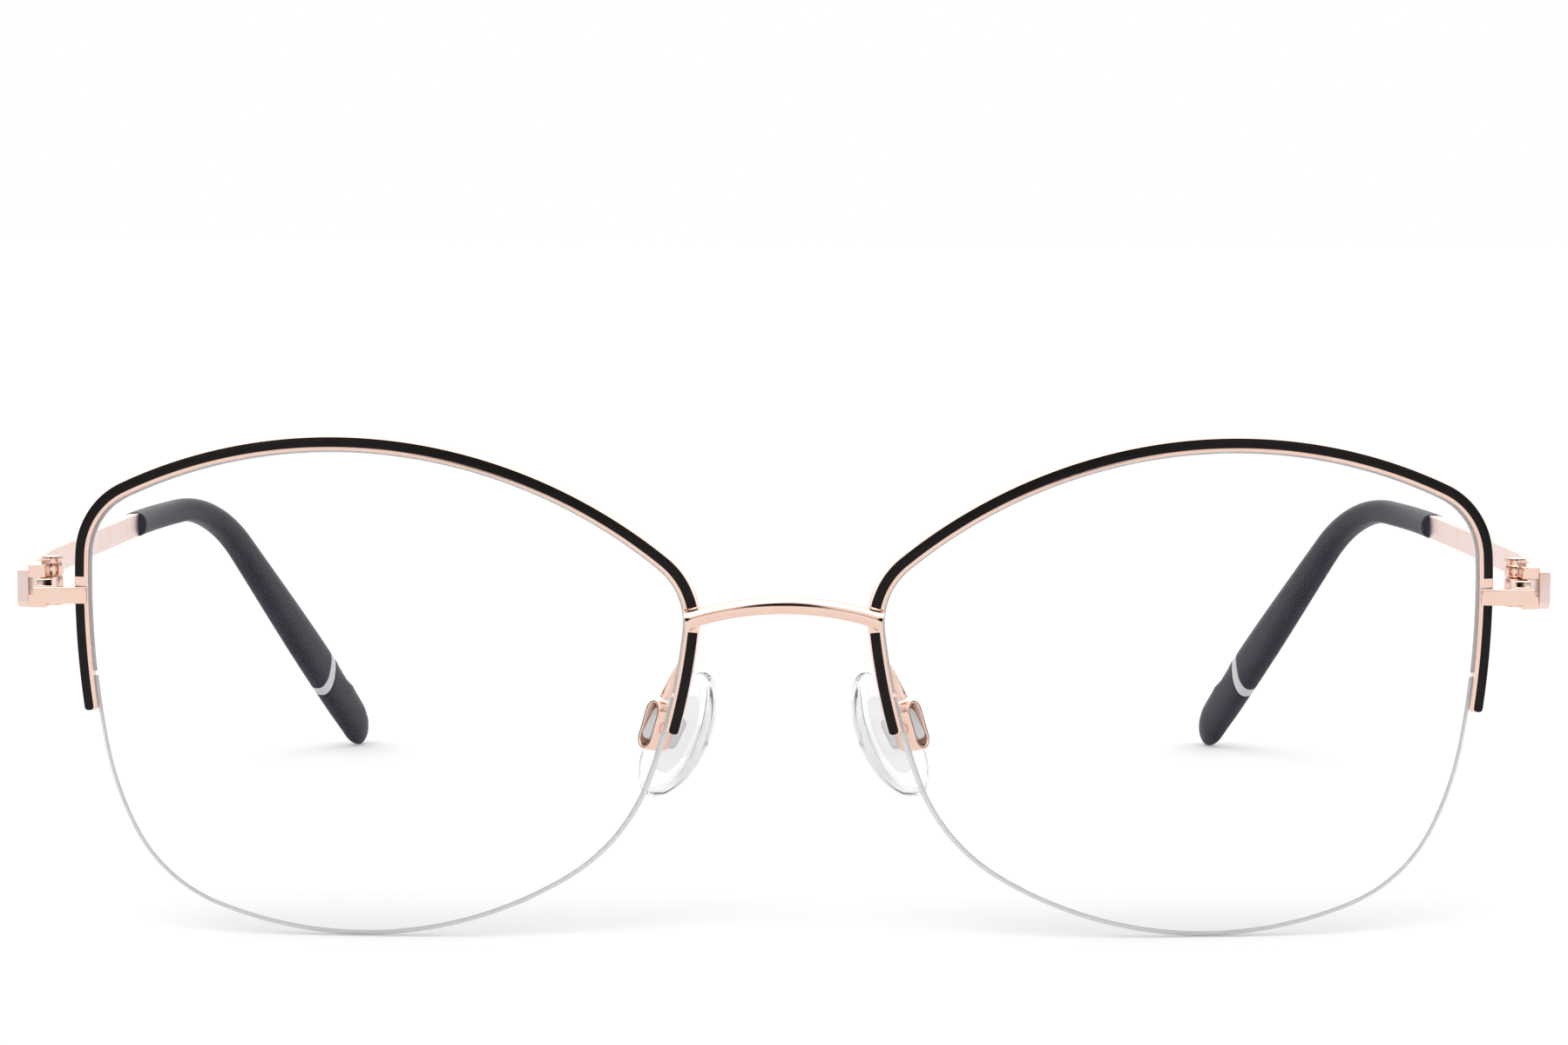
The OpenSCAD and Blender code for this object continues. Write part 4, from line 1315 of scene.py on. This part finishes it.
class SPECTACLES_OT_stage(bpy.types.Operator):
    """Make the floor, the lights and the camera"""

    bl_idname = "spectacles.stage"
    bl_label = "Stage"

    def execute(self, context):
        stage, scene = sizes("stage"), context.scene
        mesh = bpy.data.meshes.new("floor")
        reach, low = stage.floor_reach, -stage.floor_down
        corners = [(-reach, -reach, low), (reach, -reach, low), (reach, reach, low), (-reach, reach, low)]
        mesh.from_pydata(corners, [], [(0, 1, 2, 3)])
        mesh.materials.append(bpy.data.materials["white_floor"])
        floor = bpy.data.objects.new("floor", mesh)
        scene.collection.objects.link(floor)
        studio_world()
        for name, strength, tip, turn in (("key", stage.key, stage.key_tip, stage.key_turn),
                                          ("fill", stage.fill, stage.fill_tip, stage.fill_turn)):
            lamp = bpy.data.lights.new(name, "SUN")
            lamp.energy = strength
            lamp.angle = stage.softness
            light = bpy.data.objects.new(name, lamp)
            light.rotation_euler = (tip, 0, turn)
            scene.collection.objects.link(light)
        camera = bpy.data.objects.new("camera", bpy.data.cameras.new("camera"))
        camera.data.lens = stage.camera_lens
        camera.data.sensor_width = stage.camera_sensor
        camera.data.clip_start = stage.camera_near
        camera.matrix_world = (Matrix.Translation((0, -stage.camera_back, stage.camera_up))
                               @ Matrix.Rotation(math.pi / 2 - stage.camera_down, 4, "X")
                               @ Matrix.Rotation(stage.camera_roll, 4, "Z"))
        scene.collection.objects.link(camera)
        scene.camera = camera
        scene.view_settings.view_transform = "Standard"
        return {"FINISHED"}


OPERATORS = (
    SPECTACLES_OT_materials, SPECTACLES_OT_lenses, SPECTACLES_OT_eyewires, SPECTACLES_OT_cords,
    SPECTACLES_OT_bridge, SPECTACLES_OT_hinges, SPECTACLES_OT_temples, SPECTACLES_OT_tips,
    SPECTACLES_OT_pad_arms, SPECTACLES_OT_nose_pads, SPECTACLES_OT_stage,
)


class SPECTACLES_PT_panel(bpy.types.Panel):
    """Sidebar panel with every operator"""

    bl_idname = "SPECTACLES_PT_panel"
    bl_label = "Spectacles"
    bl_space_type = "VIEW_3D"
    bl_region_type = "UI"
    bl_category = "Spectacles"

    def draw(self, context):
        for operator in OPERATORS:
            self.layout.operator(operator.bl_idname)


CLASSES = (*GROUPS.values(), Spectacles, *OPERATORS, SPECTACLES_PT_panel)


def register():
    for cls in CLASSES:
        bpy.utils.register_class(cls)
    bpy.types.Scene.spectacles = bpy.props.PointerProperty(type=Spectacles)


def unregister():
    del bpy.types.Scene.spectacles
    for cls in reversed(CLASSES):
        bpy.utils.unregister_class(cls)


def main():
    """Builds every piece in order."""
    register()
    for operator in OPERATORS:
        group, name = operator.bl_idname.split(".")
        getattr(getattr(bpy.ops, group), name)()


if __name__ == "__main__":
    main()
